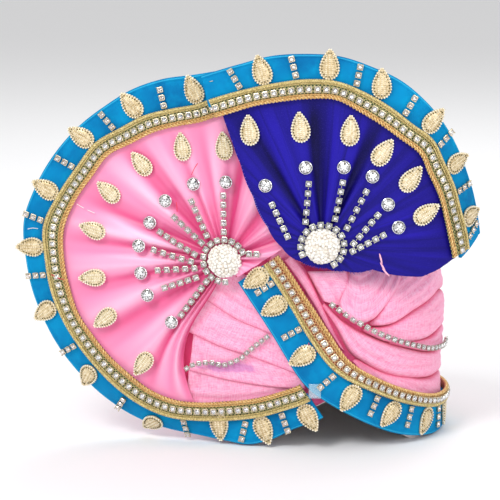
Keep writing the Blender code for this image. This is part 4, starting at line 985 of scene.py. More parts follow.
def lathe(profile, sides, look=0, smooth=False, twist=0.5):
    """Turned body from (radius, height) rows whose first and last are poles; each ring is turned by
    twist of a step, so that the faces between rings are triangles."""
    profile = np.array(profile, float)
    rings = profile[1:-1]
    turn = 2 * np.pi * (np.arange(sides)[None, :] + twist * np.arange(len(rings))[:, None] + 0.5) / sides
    body = np.stack([rings[:, :1] * np.cos(turn), rings[:, :1] * np.sin(turn),
                     rings[:, 1:] * np.ones_like(turn)], axis=-1).reshape(-1, 3)
    poles = np.array([[0, 0, profile[0, 1]], [0, 0, profile[-1, 1]]])
    k = np.arange(sides)
    k2 = (k + 1) % sides
    faces = []
    for ring in range(len(rings) - 1):
        low, high = ring * sides, (ring + 1) * sides
        faces += [np.stack([low + k, low + k2, high + k], axis=-1),
                  np.stack([low + k2, high + k2, high + k], axis=-1)]
    top = (len(rings) - 1) * sides
    faces += [np.stack([k2, k, np.full(sides, len(body))], axis=-1),
              np.stack([top + k, top + k2, np.full(sides, len(body) + 1)], axis=-1)]
    return np.vstack([body, poles]), [(np.vstack(faces), look, smooth)]


def ball(sides=7, rings=4, look=0):
    """Small bead of radius 1."""
    t = np.linspace(0, np.pi, rings + 1)
    return lathe(np.stack([np.sin(t), -np.cos(t)], axis=-1), sides, look, True)


def moved(shape, scale, shift=(0, 0, 0)):
    """A shape scaled along each axis, then shifted."""
    return shape[0] * np.array(scale) + np.array(shift), shape[1]


def together(shapes):
    """Several bodies as one shape."""
    points, faces, start = [], [], 0
    for body, face_sets in shapes:
        points.append(body)
        faces += [(f + start, look, smooth) for f, look, smooth in face_sets]
        start += len(body)
    return np.vstack(points), faces


def repeated(shape, at, scale=(1, 1, 1)):
    """A shape set once on each frame: its points times scale, along the frame's own axes."""
    body, face_sets = shape
    origin, axes = at
    scale = np.broadcast_to(scale, (len(origin), 3))
    points = origin[:, None, :] + np.einsum("pk,nk,nkd->npd", body, scale, axes)
    step = np.arange(len(origin))[:, None, None] * len(body)
    return points.reshape(-1, 3), [((f[None] + step).reshape(-1, f.shape[1]), look, smooth)
                                   for f, look, smooth in face_sets]


def unit(vectors):
    """Vectors over their own lengths."""
    return vectors / np.linalg.norm(vectors, axis=-1, keepdims=True)


def axes_at(place, along, up, out, heading=0.0):
    """Origins and axes on a surface: u at a heading in it, v across, w straight out of it."""
    values = (np.atleast_1d(value) for value in (along, up, out, heading))
    along, up, out, heading = np.broadcast_arrays(*values)
    step = 0.05 * MM
    ea = unit(place(along + step, up, out) - place(along - step, up, out))
    eb = unit(place(along, up + step, out) - place(along, up - step, out))
    w = unit(np.cross(ea, eb))
    u = unit(ea * np.cos(heading)[:, None] + eb * np.sin(heading)[:, None])
    return place(along, up, out), np.stack([u, np.cross(w, u), w], axis=1)


def route_axes(place, route, out, pitch=None, count=None, ends=0.5):
    """Frames evenly spaced along a route of wall places, u pointing along it."""
    out = np.broadcast_to(out, (len(route),))
    way = way_along(place(route[:, 0], route[:, 1], out))
    count = count or max(1, int(round(way[-1] / pitch))) + (ends == 0)
    at = (np.arange(count) + ends) / (count - 1 + 2 * ends) * way[-1]
    step = 0.3 * MM
    ahead = [np.interp(at + step, way, column) - np.interp(at - step, way, column)
             for column in route.T[:2]]
    along, up, out = (np.interp(at, way, column) for column in (route[:, 0], route[:, 1], out))
    return axes_at(place, along, up, out, np.arctan2(ahead[1], ahead[0]))


def twisted_cord(place, route, out, strand, strands, lay, look=0):
    """Strands wound round a route as tubes, one turn every lay: each centre is the route's point
    plus a step of one strand across at the turn's cosine and out at its sine."""
    origin, axes = route_axes(place, route, out, pitch=lay / CORD_STEPS)
    turns = np.arange(len(origin)) / CORD_STEPS * 2 * np.pi
    aside, upright = axes[:, 1], axes[:, 2]
    a = np.linspace(0, 2 * np.pi, CORD_SIDES, endpoint=False)[None, :, None]
    skin = strand * 1.12 * (np.cos(a) * aside[:, None] + np.sin(a) * upright[:, None])
    chunks = []
    for k in range(strands):
        phase = (turns + 2 * np.pi * k / strands)[:, None]
        spread = strand if strands > 1 else 0.0
        centre = origin + spread * (np.cos(phase) * aside + np.sin(phase) * upright)
        faces = grid(len(origin), CORD_SIDES, round_v=True)
        chunks.append((centre[:, None] + skin, [(faces, look, True)]))
    return chunks


def cut_gem(profile, sides, look):
    """Turned stone whose every third facet takes the next finish, a painted dark reflection."""
    points, [(faces, look, smooth)] = lathe(profile, sides, look)
    dark = np.arange(len(faces)) % 3 == 0
    return points, [(faces[~dark], look, smooth), (faces[dark], look + 1, smooth)]


def cup(height=1.9, wide=1.5, look=0):
    """Four-clawed square cup with a cut stone, sizes in millimetres: finish look, then the stone's."""
    size = (wide, wide, height)
    base = lathe([(0, 0), (0.95, 0), (1.25, 0.40), (1.27, 0.60), (1.0, 0.66), (0, 0.5)],
                 4, look, False, 0.0)
    gem = cut_gem([(0, 0.4), (0.86, 0.5), (0.70, 0.80), (0.42, 1.0), (0, 1.02)], 8, look + 1)
    claws = [moved(ball(5, 3, look), (0.20 * wide, 0.20 * wide, 0.32 * height),
                   (0.76 * wide * x, 0.76 * wide * y, 0.66 * height))
             for x in (-1, 1) for y in (-1, 1)]
    return moved(together([moved(base, size), moved(gem, size)] + claws), (MM, MM, MM))


def metal_finish(name, dark, light, rough):
    """Worn plated metal: colour and gloss wander between two tones."""
    metal = Finish(name, Metallic=0.9)
    mottle = metal.noise(metal.spot(), 900.0, 3.0, 0.6)
    metal.feed("Base Color", metal.mix(mottle, dark, light))
    metal.feed("Roughness", rough + mottle * 0.2)
    return metal


def crystal_finish(name, dark, light):
    """Foil-backed cut glass: each facet mirrors the room, with a faint tint that drifts."""
    crystal = Finish(name, Metallic=0.85, Coat_Weight=0.6, Coat_Roughness=0.03)
    tint = crystal.noise(crystal.spot(), 700.0, 2.0)
    crystal.feed("Base Color", crystal.mix(((tint - 0.35) * 3.0).clamp(), dark, light))
    crystal.feed("Roughness", 0.05 + tint * 0.12)
    return crystal


def thread_finish(name, dark, light):
    """Metallic thread: glossy fibres with darker hollows."""
    thread = Finish(name, Metallic=0.4)
    spot = thread.spot()
    fibre = thread.noise(spot, 1500.0, 3.0, 0.65)
    thread.feed("Base Color", thread.mix(((fibre - 0.3) * 2.2).clamp(), dark, light))
    thread.feed("Roughness", 0.34 + fibre * 0.2)
    thread.bump(thread.noise(spot, 4200.0, 2.0), 0.4, 0.0001)
    return thread


cup_metal = metal_finish("cup_metal", (0.42, 0.33, 0.20), (0.88, 0.80, 0.62), 0.16)
silver = metal_finish("burst_metal", (0.20, 0.20, 0.15), (0.80, 0.79, 0.70), 0.18)
crystal = crystal_finish("clear_crystal", (0.70, 0.70, 0.72), (0.97, 0.97, 0.98))
# painted reflection: near black facets that stand for the dark surroundings the cut glass mirrors
dark_reflection_facet = crystal_finish("dark_reflection_facet", (0.08, 0.09, 0.08), (0.40, 0.40, 0.36))
pale_gold = thread_finish("pale_gold_thread", (0.30, 0.20, 0.04), (1.0, 0.86, 0.44))
rich_gold = thread_finish("rich_gold_thread", (0.46, 0.18, 0.03), (1.0, 0.80, 0.38))


def net_finish(name, hole, thread_tone):
    """Gold net ground: crossed threads over dark holes."""
    net = Finish(name, Roughness=0.5, Metallic=0.3)
    spot = net.stretch(net.spot("UV"), (1.0, 1.0, 1.0), (0, 0, np.radians(45)))
    lines = [(net.part(spot, axis) * (np.pi / NET_PITCH)).sine() for axis in ("X", "Y")]
    cross = (lines[0].math("MAXIMUM", lines[0], lines[1]) * 1.6 - 0.5).clamp()
    net.feed("Base Color", net.mix(cross, hole, thread_tone))
    net.bump(cross, 0.7, 0.0003)
    return net


def lace_band(name, place, inner, outer, base, node, net, flip):
    """One run of lace between two edges: net ground, cords, and the row of cups."""
    t = np.linspace(0, 1, 7)[None, :]
    a, b = across(inner, outer, t)
    flat = place(a, b, base)
    run = way_along(flat[:, t.size // 2])[:, None]
    width = np.linalg.norm(flat[:, -1] - flat[:, 0], axis=1)[:, None]
    uv = cloth_map(run, t * width).reshape(-1, 2)
    chunks = [slab(place(a, b, base - 0.1 * MM), place(a, b, base - 0.5 * MM), flip=flip)]

    def lane(share):
        return inner * (1 - share) + outer * share

    for share, lift, strand, turn, strands, look in LACE_CORDS:
        chunks += twisted_cord(place, lane(share), base + lift * MM, strand * MM, strands,
                               turn * MM, look)
    cups = route_axes(place, lane(0.49), base, pitch=CUP_PITCH_ON_LACE)
    chunks.append(repeated(cup(1.9, 1.52, 3), cups))
    total = sum(body.size // 3 for body, _ in chunks)
    uv = np.vstack([uv, np.zeros((total - len(uv), 2))])
    made = build(name, chunks, [net, pale_gold, rich_gold, cup_metal, crystal, dark_reflection_facet], uv)
    put(made, "gold_lace", node)


green_net = net_finish("green_gold_net", (0.035, 0.06, 0.03), (0.62, 0.58, 0.24))
brown_net = net_finish("brown_gold_net", (0.30, 0.06, 0.03), (0.85, 0.48, 0.22))
lace_out = LACE_LIFT + LACE_T / 2 - GROUND_SINK
lace_band("pink_fan_lace", wall, pink_lace_in, pink_lace_out, BORDER_OUT + lace_out,
          "pink_lace", green_net, True)
lace_band("blue_fan_lace", blue_wall, blue_lace_in, blue_lace_out, lace_out,
          "blue_lace", green_net, True)
lace_band("front_band_gold_lace", band_wall, band_in, band_seam, BORDER_OUT + lace_out,
          "front_band_lace", brown_net, False)


# Beaded teardrops. Stamped cream-gold drops are sewn over the velvet, their points past its edge,
# and smaller ones over the satin: a beaded rim, a ring of holes given as dark beads of painted shade,
# and fine ribs along the drop.
PATCH_L = 13.6
PATCH_W = 8.3
SMALL_PATCH_L = 12.9
SMALL_PATCH_W = 7.6
BLUE_GROWTH = 1.06
PATCH_T = 1.5
PATCH_SIDES = 28
TRIM_GAP = 0.3
ON_BORDER = BORDER_OUT + VELVET_T / 2
PINK_PATCHES = [
    # degrees round the hub, lean of the point
    (101, 13), (122.5, 10), (141.5, 8), (160.9, -9), (178.8, 4), (198.1, 18), (221, 16), (245, -26),
    (268, 6), (283, 9), (298.5, 3),
]
BLUE_PATCHES = [(109, -2), (88, 0), (70.5, 19), (48.5, -4), (30, -7), (8.5, 8)]
BAND_PATCHES = [
    # along as a share of BAND_UP, lean of the point
    (-0.240, 0), (-0.140, 0), (0.005, 0), (0.16, 0), (0.33, -22), (0.53, -26), (0.76, -10),
    (1.02, 8), (1.28, -8), (1.54, 6), (1.80, -6), (2.06, 8), (2.32, 0),
]
PINK_SMALL_PATCHES = [
    # degrees round the hub, reach as a share of the fan's radius, lean
    (90.4, 0.695, 6), (111.2, 0.730, -13), (132.8, 0.775, -2), (152.0, 0.830, -11), (169.5, 0.845, -7),
    (189.8, 0.850, -5), (207.5, 0.855, 10), (232.0, 0.845, 2),
]
BLUE_SMALL_PATCHES = [(122.0, 0.915, -26), (100.5, 0.815, -5), (77.0, 0.800, 10), (57.5, 0.750, -3),
                      (37.3, 0.745, 13), (17.0, 0.730, 13)]


def teardrop(length, width, thick):
    """Beaded drop in millimetres, its point towards +x: the half width is the sine of the turn
    times a root of the half turn's sine, so that it is sharp at the point and round at the back."""
    def half_width(turn):
        return 0.5 * width / 0.80 * np.sin(turn) * np.abs(np.sin(turn / 2)) ** 0.8

    fine = np.linspace(0, 2 * np.pi, 721)
    outline = np.stack([0.5 * length * np.cos(fine), half_width(fine)], axis=-1)
    way = way_along(outline)
    heart = np.array([-0.08 * length, 0.0])

    def ring(count, share, z):
        at = (np.arange(count) + 0.5) / count * way[-1]
        edge = np.stack([np.interp(at, way, outline[:, k]) for k in (0, 1)], axis=-1)
        return np.column_stack([heart + (edge - heart) * share, np.full(count, z)])

    section = ((0.97, 0.0), (0.99, 0.30), (0.93, 0.50), (0.82, 0.55), (0.70, 0.72), (0.45, 0.90))
    rows = np.stack([ring(PATCH_SIDES, share, z * thick) for share, z in section])
    body = np.vstack([rows.reshape(-1, 3), [[heart[0], 0, thick * 0.95], [heart[0], 0, 0]]])
    k = np.arange(PATCH_SIDES)
    k2 = (k + 1) % PATCH_SIDES
    walls = grid(len(section), PATCH_SIDES, round_v=True)[:, ::-1]
    pole = np.full(PATCH_SIDES, rows.size // 3)
    last = (len(section) - 1) * PATCH_SIDES
    caps = np.vstack([np.stack([last + k, last + k2, pole], axis=-1),
                      np.stack([k2, k, pole + 1], axis=-1)])
    shapes = [(body, [(walls, 0, True), (caps, 0, True)])]
    size = 0.062 * width
    shapes += [moved(ball(5, 3, 1), (size, size, size * 1.2), at)
               for at in ring(27, 0.955, 0.52 * thick)]
    shapes += [moved(ball(5, 3, 2), (0.36, 0.36, 0.26), at) for at in ring(21, 0.775, 0.70 * thick)]
    ribs = [(u, v) for v in (-0.46, -0.23, 0.0, 0.23, 0.46) for u in np.arange(-0.36, 0.30, 0.062)]
    for u, v in ribs:
        u, v = u * length, v * width * 0.72
        if abs(v) > half_width(np.arccos(np.clip(2 * u / length, -1, 1))) * 0.60:
            continue
        dome = (1 - (v / (0.5 * width)) ** 2) * (1 - (1.7 * (u - heart[0]) / length) ** 2)
        shapes.append(moved(ball(4, 3, 1), (0.27, 0.50, 0.30), (u, v, thick * (0.66 + 0.30 * dome))))
    return moved(together(shapes), (MM, MM, MM))


def patch_finish(name, dark, light):
    """Plated plastic: cream gold with a soft gloss, darker in random patches of painted shade."""
    patch = Finish(name, Metallic=0.35, Coat_Weight=0.3)
    mottle = patch.noise(patch.spot(), 800.0, 3.0, 0.6)
    # painted shade of the relief, laid at random as darker patches
    patch.feed("Base Color", patch.mix(((mottle - 0.3) * 2.4).clamp(), dark, light))
    patch.feed("Roughness", 0.26 + mottle * 0.2)
    return patch


patch_body = patch_finish("patch_gold", (0.42, 0.29, 0.12), (0.88, 0.74, 0.48))
patch_bead = patch_finish("patch_beads", (0.74, 0.61, 0.36), (1.0, 0.95, 0.82))
# painted shade: near black beads that stand for the shade in the holes
patch_hole_shade = patch_finish("patch_holes_shade", (0.05, 0.04, 0.01), (0.13, 0.11, 0.03))
patch_white = patch_finish("patch_pale_beads", (0.86, 0.76, 0.54), (1.0, 0.97, 0.88))
patch_pale = patch_finish("patch_pale_gold", (0.48, 0.34, 0.14), (0.90, 0.80, 0.58))


def seat(place, centre, length, heading, base):
    """Frames of trims at their centres, drawn back along their heading until they clear the floor."""
    along, up = centre.T
    tip = length * 0.54 * MM * np.sin(heading)
    back = np.maximum(FLOOR_CLEAR - up - tip, 0) / np.maximum(-np.sin(heading), 0.2)
    return axes_at(place, along - back * np.cos(heading), up - back * np.sin(heading), base, heading)


def from_seam(length):
    """Way from the seam to a trim's centre."""
    return (length * 0.48 + TRIM_GAP) * MM


def ring_trims(place, hub, table, seam, degrees, base, length):
    """Frames for trims round a fan: each starts at the seam and points outwards, with a lean."""
    angle, lean = np.array(table, float).T
    centre = hub_places(hub, angle, np.interp(angle, degrees, seam) + from_seam(length))
    return seat(place, centre, length, np.radians(angle + lean), base)


def curled_wall(along, up, out):
    """The wall less the curl of the pink border's outer edge."""
    turn = np.degrees(np.arctan2(up - PINK_HUB[1], along - PINK_HUB[0])) % 360
    reach = np.hypot(along - PINK_HUB[0], up - PINK_HUB[1])
    turn = np.minimum(turn, PINK_EDGE[-1, 0])
    satin, lace, border, curl = (pink_edge(turn, k) for k in (1, 2, 3, 4))
    inner = satin * PINK_R + UNDER_LACE * lace * PINK_LACE_W
    outer = satin * PINK_R + lace * PINK_LACE_W + border * PINK_BORDER_W
    t = np.clip((reach - inner) / (outer - inner), 0, 1.25)
    return wall(along, up, out - curl * PINK_BORDER_W * t * t)


def band_trims(table, length):
    """Frames for trims along the front band, each starting at the seam."""
    share, lean = np.array(table, float).T
    way = way_along(band_in)
    at = np.interp(share * BAND_UP, band_in[:, 0], way)
    start, end = (np.stack([np.interp(at, way, edge[:, k]) for k in (0, 1)], axis=-1)
                  for edge in (band_seam, band_hem))
    heading = np.arctan2(*(end - start).T[::-1]) + np.radians(lean)
    centre = start + unit(end - start) * from_seam(length)
    return seat(band_wall, centre, length, heading, ON_BORDER)


def border_trims(pink, blue, front, length):
    """Frames for one kind of trim on the three borders, from its three tables."""
    return (("pink_border", ring_trims(curled_wall, PINK_HUB, pink, pink_seam, pink_degrees,
                                       ON_BORDER, length)),
            ("blue_border", ring_trims(blue_wall, BLUE_HUB, blue, blue_seam, blue_degrees,
                                       VELVET_T / 2, length)),
            ("front_band", band_trims(front, length)))


drop = teardrop(PATCH_L, PATCH_W, PATCH_T)
small_drop = teardrop(SMALL_PATCH_L, SMALL_PATCH_W, PATCH_T)
for name, at in border_trims(PINK_PATCHES, BLUE_PATCHES, BAND_PATCHES, PATCH_L):
    made = build(name + "_drops", [repeated(drop, at)], [patch_body, patch_bead, patch_hole_shade])
    put(made, "gold_lace")


def top_of(satin_out, hub, along, up, half):
    """Highest satin under a piece of a half width, on its own fan."""
    steps = (-1, -0.5, 0, 0.5, 1)
    shift = np.array([(i, j) for i in steps for j in steps]) * half
    x = along[..., None] + shift[:, 0] - hub[0]
    z = up[..., None] + shift[:, 1] - hub[1]
    turn = np.degrees(np.arctan2(z, x))
    turn = np.where(turn > -95, turn, turn + 360)
    return satin_out(turn, np.hypot(x, z)).max(axis=-1) + SATIN_T / 4


for colour, place, hub, table, radius, satin_out, growth in (
        ("pink", wall, PINK_HUB, PINK_SMALL_PATCHES, PINK_R, pink_satin_out, 1.0),
        ("blue", blue_wall, BLUE_HUB, BLUE_SMALL_PATCHES, BLUE_R, blue_satin_out, BLUE_GROWTH)):
    turn, reach, lean = np.array(table, float).T
    along, up = hub_places(hub, turn, reach * radius).T
    out = top_of(satin_out, hub, along, up, 2.6 * MM)
    at = axes_at(place, along, up, out, np.radians(turn + lean))
    made = build(colour + "_satin_drops", [repeated(small_drop, at, (growth, growth, 1))],
                 [patch_pale, patch_white, patch_hole_shade])
    put(made, "gold_lace", *("%s_small_patch_%d" % (colour, k + 1) for k in range(len(table))))


# Three-stone bars. Between the teardrops sit bars of three touching cups, square to the edge.
# Each is three four-clawed cups soldered in a row on a thin strip.
BAR_PITCH = 3.5
BAR_LENGTH = 3 * BAR_PITCH + 0.4
# rows as in the teardrops' tables
PINK_BARS = [(112, -8), (132, 0), (151.0, 2), (170, -9), (187.1, 0), (211, 0), (234, 0),
             (256.5, 20), (276, -20), (290.5, 0)]
BLUE_BARS = [(117.6, 4), (99.2, 5), (78.5, 0), (58.5, 0), (40.5, 0), (20, 0), (3.0, 36)]
BAND_BARS = [(-0.202, 0), (-0.055, 0), (0.080, 0), (0.245, 0), (0.425, 0), (0.640, 0), (0.89, 0),
             (1.15, 0), (1.41, 0), (1.67, 0), (1.93, 0), (2.19, 0), (2.44, 0)]

setting = cup(1.7, 1.42)
three = together([moved(setting, 1.0, (k * BAR_PITCH * MM, 0, 0)) for k in (-1, 0, 1)])
warm_crystal = crystal_finish("warm_crystal", (0.72, 0.56, 0.48), (0.98, 0.96, 0.94))
for name, at in border_trims(PINK_BARS, BLUE_BARS, BAND_BARS, BAR_LENGTH):
    made = build(name + "_bars", [repeated(three, at)], [cup_metal, warm_crystal, dark_reflection_facet])
    put(made, "crystal")


# Pearl clusters. A domed cluster of ivory seed pearls marks each hub, ringed by cup chain from
# which rays of single cups run out to round sew-on stones.
PEARLS_H = 5.2
RING_R = 9.3 * MM
PINK_RAYS = [
    # degrees and reach (as a share of the fan's radius) of a ray's two ends, then of its stone
    (90.5, 0.175, 90.5, 0.395, 88.8, 0.476), (125.9, 0.185, 119.5, 0.405, 112.6, 0.495),
    (143.0, 0.175, 140.4, 0.395, 136.1, 0.505), (169.6, 0.185, 158.7, 0.430, 156.0, 0.513),
    (183.8, 0.205, 173.9, 0.440, 172.5, 0.535), (196.3, 0.190, 190.5, 0.420, 190.7, 0.530),
    (212.5, 0.205, 206.0, 0.410, 205.8, 0.530), (230.0, 0.170, 232.1, 0.430, 229.9, 0.510),
]
BLUE_RAYS = [
    (164.5, 0.240, 140.0, 0.430, 132.9, 0.553), (124.0, 0.200, 102.3, 0.430, 102.0, 0.540),
    (65.8, 0.205, 73.0, 0.450, 75.3, 0.550), (37.1, 0.206, 51.8, 0.465, 54.8, 0.572),
    (4.8, 0.208, 29.5, 0.420, 32.7, 0.516), (-9.7, 0.205, 10.1, 0.410, 13.7, 0.520),
]
RAY_PITCH = 3.95 * MM
RING_PITCH = 3.4 * MM
RAY_STEPS = 12


def pearl_cluster(radius, height, count, seed):
    """Dome of seed pearls in millimetres: a sunflower spiral over half an ellipsoid, jittered."""
    pick = np.random.default_rng(seed)
    k = np.arange(count) + 0.5
    z = 1 - k / count * 0.98
    turn = k * np.pi * (3 - np.sqrt(5)) + pick.uniform(-0.05, 0.05, count)
    flat = np.sqrt(1 - z ** 2)
    spread = flat * radius * 0.93
    centre = np.column_stack([spread * np.cos(turn), spread * np.sin(turn), z * height * 0.88 + 0.1])
    centre += pick.uniform(-0.16, 0.16, centre.shape)
    size = pick.uniform(0.72, 0.98, (count, 1))
    core = moved(ball(16, 10), (radius * 0.92, radius * 0.92, height * 0.86))
    frames = (centre, np.broadcast_to(np.eye(3), (count, 3, 3)))
    seeds = repeated(ball(8, 5), frames, size)
    points, faces = together([core, seeds])
    points[:, 2] = np.maximum(points[:, 2], 0)
    return points * MM, faces


def round_stone():
    """Round cut stone in a thin setting, in millimetres, with a ring of pinholes as dark beads of
    painted shade.
    """
    base = lathe([(0, 0), (2.85, 0), (3.0, 0.7), (2.8, 1.15), (0, 1.05)], 18, 0, True, 0.0)
    gem = cut_gem([(0, 0.9), (2.62, 1.1), (2.15, 1.75), (1.15, 2.3), (0, 2.35)], 11, 1)
    dots = [moved(ball(4, 3, 3), (0.27, 0.27, 0.24), (2.42 * np.cos(t), 2.42 * np.sin(t), 1.45))
            for t in np.linspace(0, 2 * np.pi, 15, endpoint=False)]
    return moved(together([base, gem] + dots), (MM, MM, MM))


pearl = Finish("seed_pearl", Roughness=0.28, Coat_Weight=0.5, Coat_Roughness=0.15)
tone = ((pearl.noise(pearl.spot(), 520.0, 2.0) - 0.35) * 3.0).clamp()
pearl.feed("Base Color", pearl.mix(tone, (0.78, 0.71, 0.62), (0.98, 0.97, 0.93)))
stone_rim = crystal_finish("stone_rim", (0.70, 0.72, 0.74), (1.0, 1.0, 1.0))
burst_cup = cup(1.9, 1.42)
link = moved(ball(5, 3), (0.9 * MM, 0.28 * MM, 0.22 * MM), (0, 0, 0.5 * MM))


def chain_chunks(shape, place, route, out, pitch, ends=0.5):
    """Cups evenly spaced along a route with a thin link between each two."""
    cups = route_axes(place, route, out, pitch=pitch, ends=ends)
    chunks = [repeated(shape, cups)]
    if len(cups[0]) > 1:
        links = route_axes(place, route, out, count=len(cups[0]) - 1, ends=ends + 0.5)
        chunks.append(repeated(link, links))
    return chunks


for colour, place, hub, rays, radius, satin_out, ring_from, ring_to, pearls_r in (
        ("pink", wall, PINK_HUB, PINK_RAYS, PINK_R, pink_satin_out, 22, 284, 7.4),
        ("blue", blue_wall, BLUE_HUB, BLUE_RAYS, BLUE_R, blue_satin_out, -68, 214, 7.8)):
    ring = np.linspace(ring_from, ring_to, 60)
    route = hub_places(hub, ring, RING_R * np.ones_like(ring))
    out = np.full(len(route), top_of(satin_out, hub, route[:, 0], route[:, 1], 1.4 * MM).max())
    if colour == "pink":
        tail = hub_places(hub, np.array([12.0, 16.0]), np.array([16.5, 13.2]) * MM)
        route = np.vstack([tail, route])
        out = np.concatenate([out[:2], out])
    chunks = chain_chunks(burst_cup, place, route, out, RING_PITCH)
    for first, inner, last, outer, *_ in rays:
        ray_ends = hub_places(hub, np.array([first, last]), np.array([inner, outer]) * radius)
        route = np.linspace(*ray_ends, RAY_STEPS)
        local = top_of(satin_out, hub, route[:, 0], route[:, 1], 1.6 * MM)
        line = np.linspace(local[0], local[-1], RAY_STEPS)
        chunks += chain_chunks(burst_cup, place, route, np.maximum(line, local), RAY_PITCH, 0)
    made = build(colour + "_cup_chain_burst", chunks, [silver, crystal, dark_reflection_facet])
    put(made, "crystal", colour + "_burst")
    turn, reach = np.array(rays)[:, 4:].T
    spots = hub_places(hub, turn, reach * radius)
    out = top_of(satin_out, hub, spots[:, 0], spots[:, 1], 2.4 * MM)
    at = axes_at(place, spots[:, 0], spots[:, 1], out, np.radians(turn * 1.7))
    made = build(colour + "_round_stones", [repeated(round_stone(), at)],
                 [stone_rim, crystal, dark_reflection_facet, patch_hole_shade])
    put(made, "crystal", *("%s_round_stone_%d" % (colour, k + 1) for k in range(len(rays))))
    middle = np.array([hub])
    out = top_of(satin_out, hub, middle[:, 0] + RING_R, middle[:, 1], 1.4 * MM)
    at = axes_at(place, middle[:, 0], middle[:, 1], out - 0.2 * MM)
    cluster = pearl_cluster(pearls_r, PEARLS_H, 120, 5)
    made = build(colour + "_pearl_cluster", [repeated(cluster, at)], [pearl])
    put(made, "pearl", colour + "_pearls")


# Drape chains. One string of fine cup chain hangs over the cotton panel and another over the
# turns at the right. Each lies on the cotton and sags between its sewn ends.
LEFT_CHAIN = [
    # along, up and out, in millimetres
    (-64.0, 33.2, 7.6), (-60.7, 35.4, 6.8), (-57.0, 36.1, 5.0), (-53.6, 36.3, 3.4),
    (-47.3, 35.5, 3.15), (-43.8, 36.8, 3.15), (-39.2, 39.2, 3.15), (-36.3, 42.0, 3.15),
    (-32.1, 45.6, 3.15), (-26.8, 49.8, 3.15)]
RIGHT_CHAIN = [
    (-1.6, 65.4, 4.4), (5.2, 60.0, 4.8), (12.3, 54.9, 5.2), (20.2, 50.2, 5.2), (27.5, 46.8, 5.2),
    (36.2, 43.5, 5.2), (45.0, 40.8, 5.2), (54.0, 39.6, 5.2), (61.0, 39.2, 5.2), (68.0, 40.2, 5.2)]

for name, table, pitch, size, node in (("left_cup_chain", LEFT_CHAIN, 2.95, 1.15, "left_chain"),
                                       ("right_cup_chain", RIGHT_CHAIN, 3.7, 1.28, "right_chain")):
    route = along_rows(np.array(table) * MM, 60)
    chunks = chain_chunks(cup(1.7, size), wall, route[:, :2], route[:, 2], pitch * MM)
    put(build(name, chunks, [silver, crystal, dark_reflection_facet]), "crystal", node)


# Loose threads. Raw blue threads fringe the lower edge and ticks of selvedge run down its left;
# a few red and white tacking threads, a staple and a scrap of clear film were left in the work.
FRAY_FROM, FRAY_TO, FRAY_COUNT = 222, 344, 90
TICKS_FROM, TICKS_TO, TICKS_COUNT = 128.6, 161, 30
RED_BITS = [
    # along, up and out, in millimetres, of each tacking thread's points
    [(-57.6, 124.4, 8.2), (-59.0, 122.2, 8.4), (-60.4, 119.2, 8.2)],
    [(-67.4, 107.2, 7.8), (-67.0, 105.0, 8.0), (-67.0, 102.8, 7.8)],
    [(-9.4, 47.8, 6.0), (-8.3, 45.4, 6.2), (-6.7, 43.8, 6.1), (-5.3, 44.1, 6.0)],
    [(-124.5, 72.8, 7.4), (-122.0, 71.6, 7.8), (-118.5, 70.6, 7.4)],
    [(-42.0, 74.6, 3.6), (-40.0, 76.2, 4.2), (-37.6, 77.6, 3.6)],
]
WHITE_BITS = [
    [(-14.5, 41.0, 5.0), (-11.0, 40.4, 5.6), (-8.6, 41.6, 5.0)],
    [(-29.0, 62.0, 5.0), (-25.0, 64.0, 5.4)],
    [(-113.0, 104.2, 5.6), (-109.5, 102.5, 6.2)],
    [(-108.0, 101.8, 6.0), (-104.5, 100.6, 6.6)],
    [(-136.0, 92.0, 4.8), (-133.6, 92.6, 5.2), (-131.0, 92.4, 4.9)],
]
STAPLE_AT = (-47.7 * MM, 160.6 * MM)
FILM_AT = (-6.6 * MM, 26.8 * MM)
TEAR_AT = (25.0 * MM, 82.5 * MM)

thread_red = Finish("red_thread", Roughness=0.6, Base_Color=(0.72, 0.02, 0.05, 1.0))
thread_white = Finish("white_thread", Roughness=0.6, Base_Color=(0.85, 0.80, 0.78, 1.0))
thread_blue = Finish("blue_thread", Roughness=0.6, Base_Color=(0.03, 0.02, 0.36, 1.0))
thread_tick = Finish("selvedge_thread", Roughness=0.6, Base_Color=(0.30, 0.28, 0.75, 1.0))
thread_pink = Finish("pink_thread", Roughness=0.6, Base_Color=(0.92, 0.45, 0.60, 1.0))
pick = np.random.default_rng(44)
fray_at = pick.uniform(FRAY_FROM, FRAY_TO, FRAY_COUNT)
along, up = hub_places(BLUE_HUB, fray_at, blue_reach(fray_at) - 0.2 * MM).T
frames = axes_at(blue_wall, along, up, blue_satin_out(fray_at, blue_reach(fray_at)),
                 np.radians(fray_at + pick.uniform(-50, 50, FRAY_COUNT)))
fibre = moved(ball(4, 4, 0), (MM, 0.09 * MM, 0.09 * MM), (0.6 * MM, 0, 0))
length = pick.uniform(0.3, 1.0, (FRAY_COUNT, 1)) * np.array([[1, 0, 0]]) + np.array([[0, 1, 1]])
chunks = [repeated(fibre, frames, length)]
ticks_at = np.linspace(TICKS_FROM, TICKS_TO, TICKS_COUNT)
along, up = hub_places(BLUE_HUB, ticks_at, blue_reach(ticks_at) - 0.5 * MM).T
frames = axes_at(blue_wall, along, up, blue_satin_out(ticks_at, blue_reach(ticks_at)) + 0.3 * MM,
                 np.radians(20))
chunks.append(repeated(moved(ball(4, 3, 1), (0.32 * MM, 0.12 * MM, 0.10 * MM)), frames))
torn = axes_at(blue_wall, TEAR_AT[0] + np.array([0, 0.9, 2.2]) * MM,
               TEAR_AT[1] + np.array([2.6, -1.0, -3.4]) * MM, 0.7 * MM,
               np.radians([-75, -60, -48]))
chunks.append(repeated(moved(ball(6, 5, 2), (2.6 * MM, 0.42 * MM, 0.25 * MM)), torn))
put(build("blue_raw_edge", chunks, [thread_blue, thread_tick, thread_pink]), "blue_satin")
chunks = []
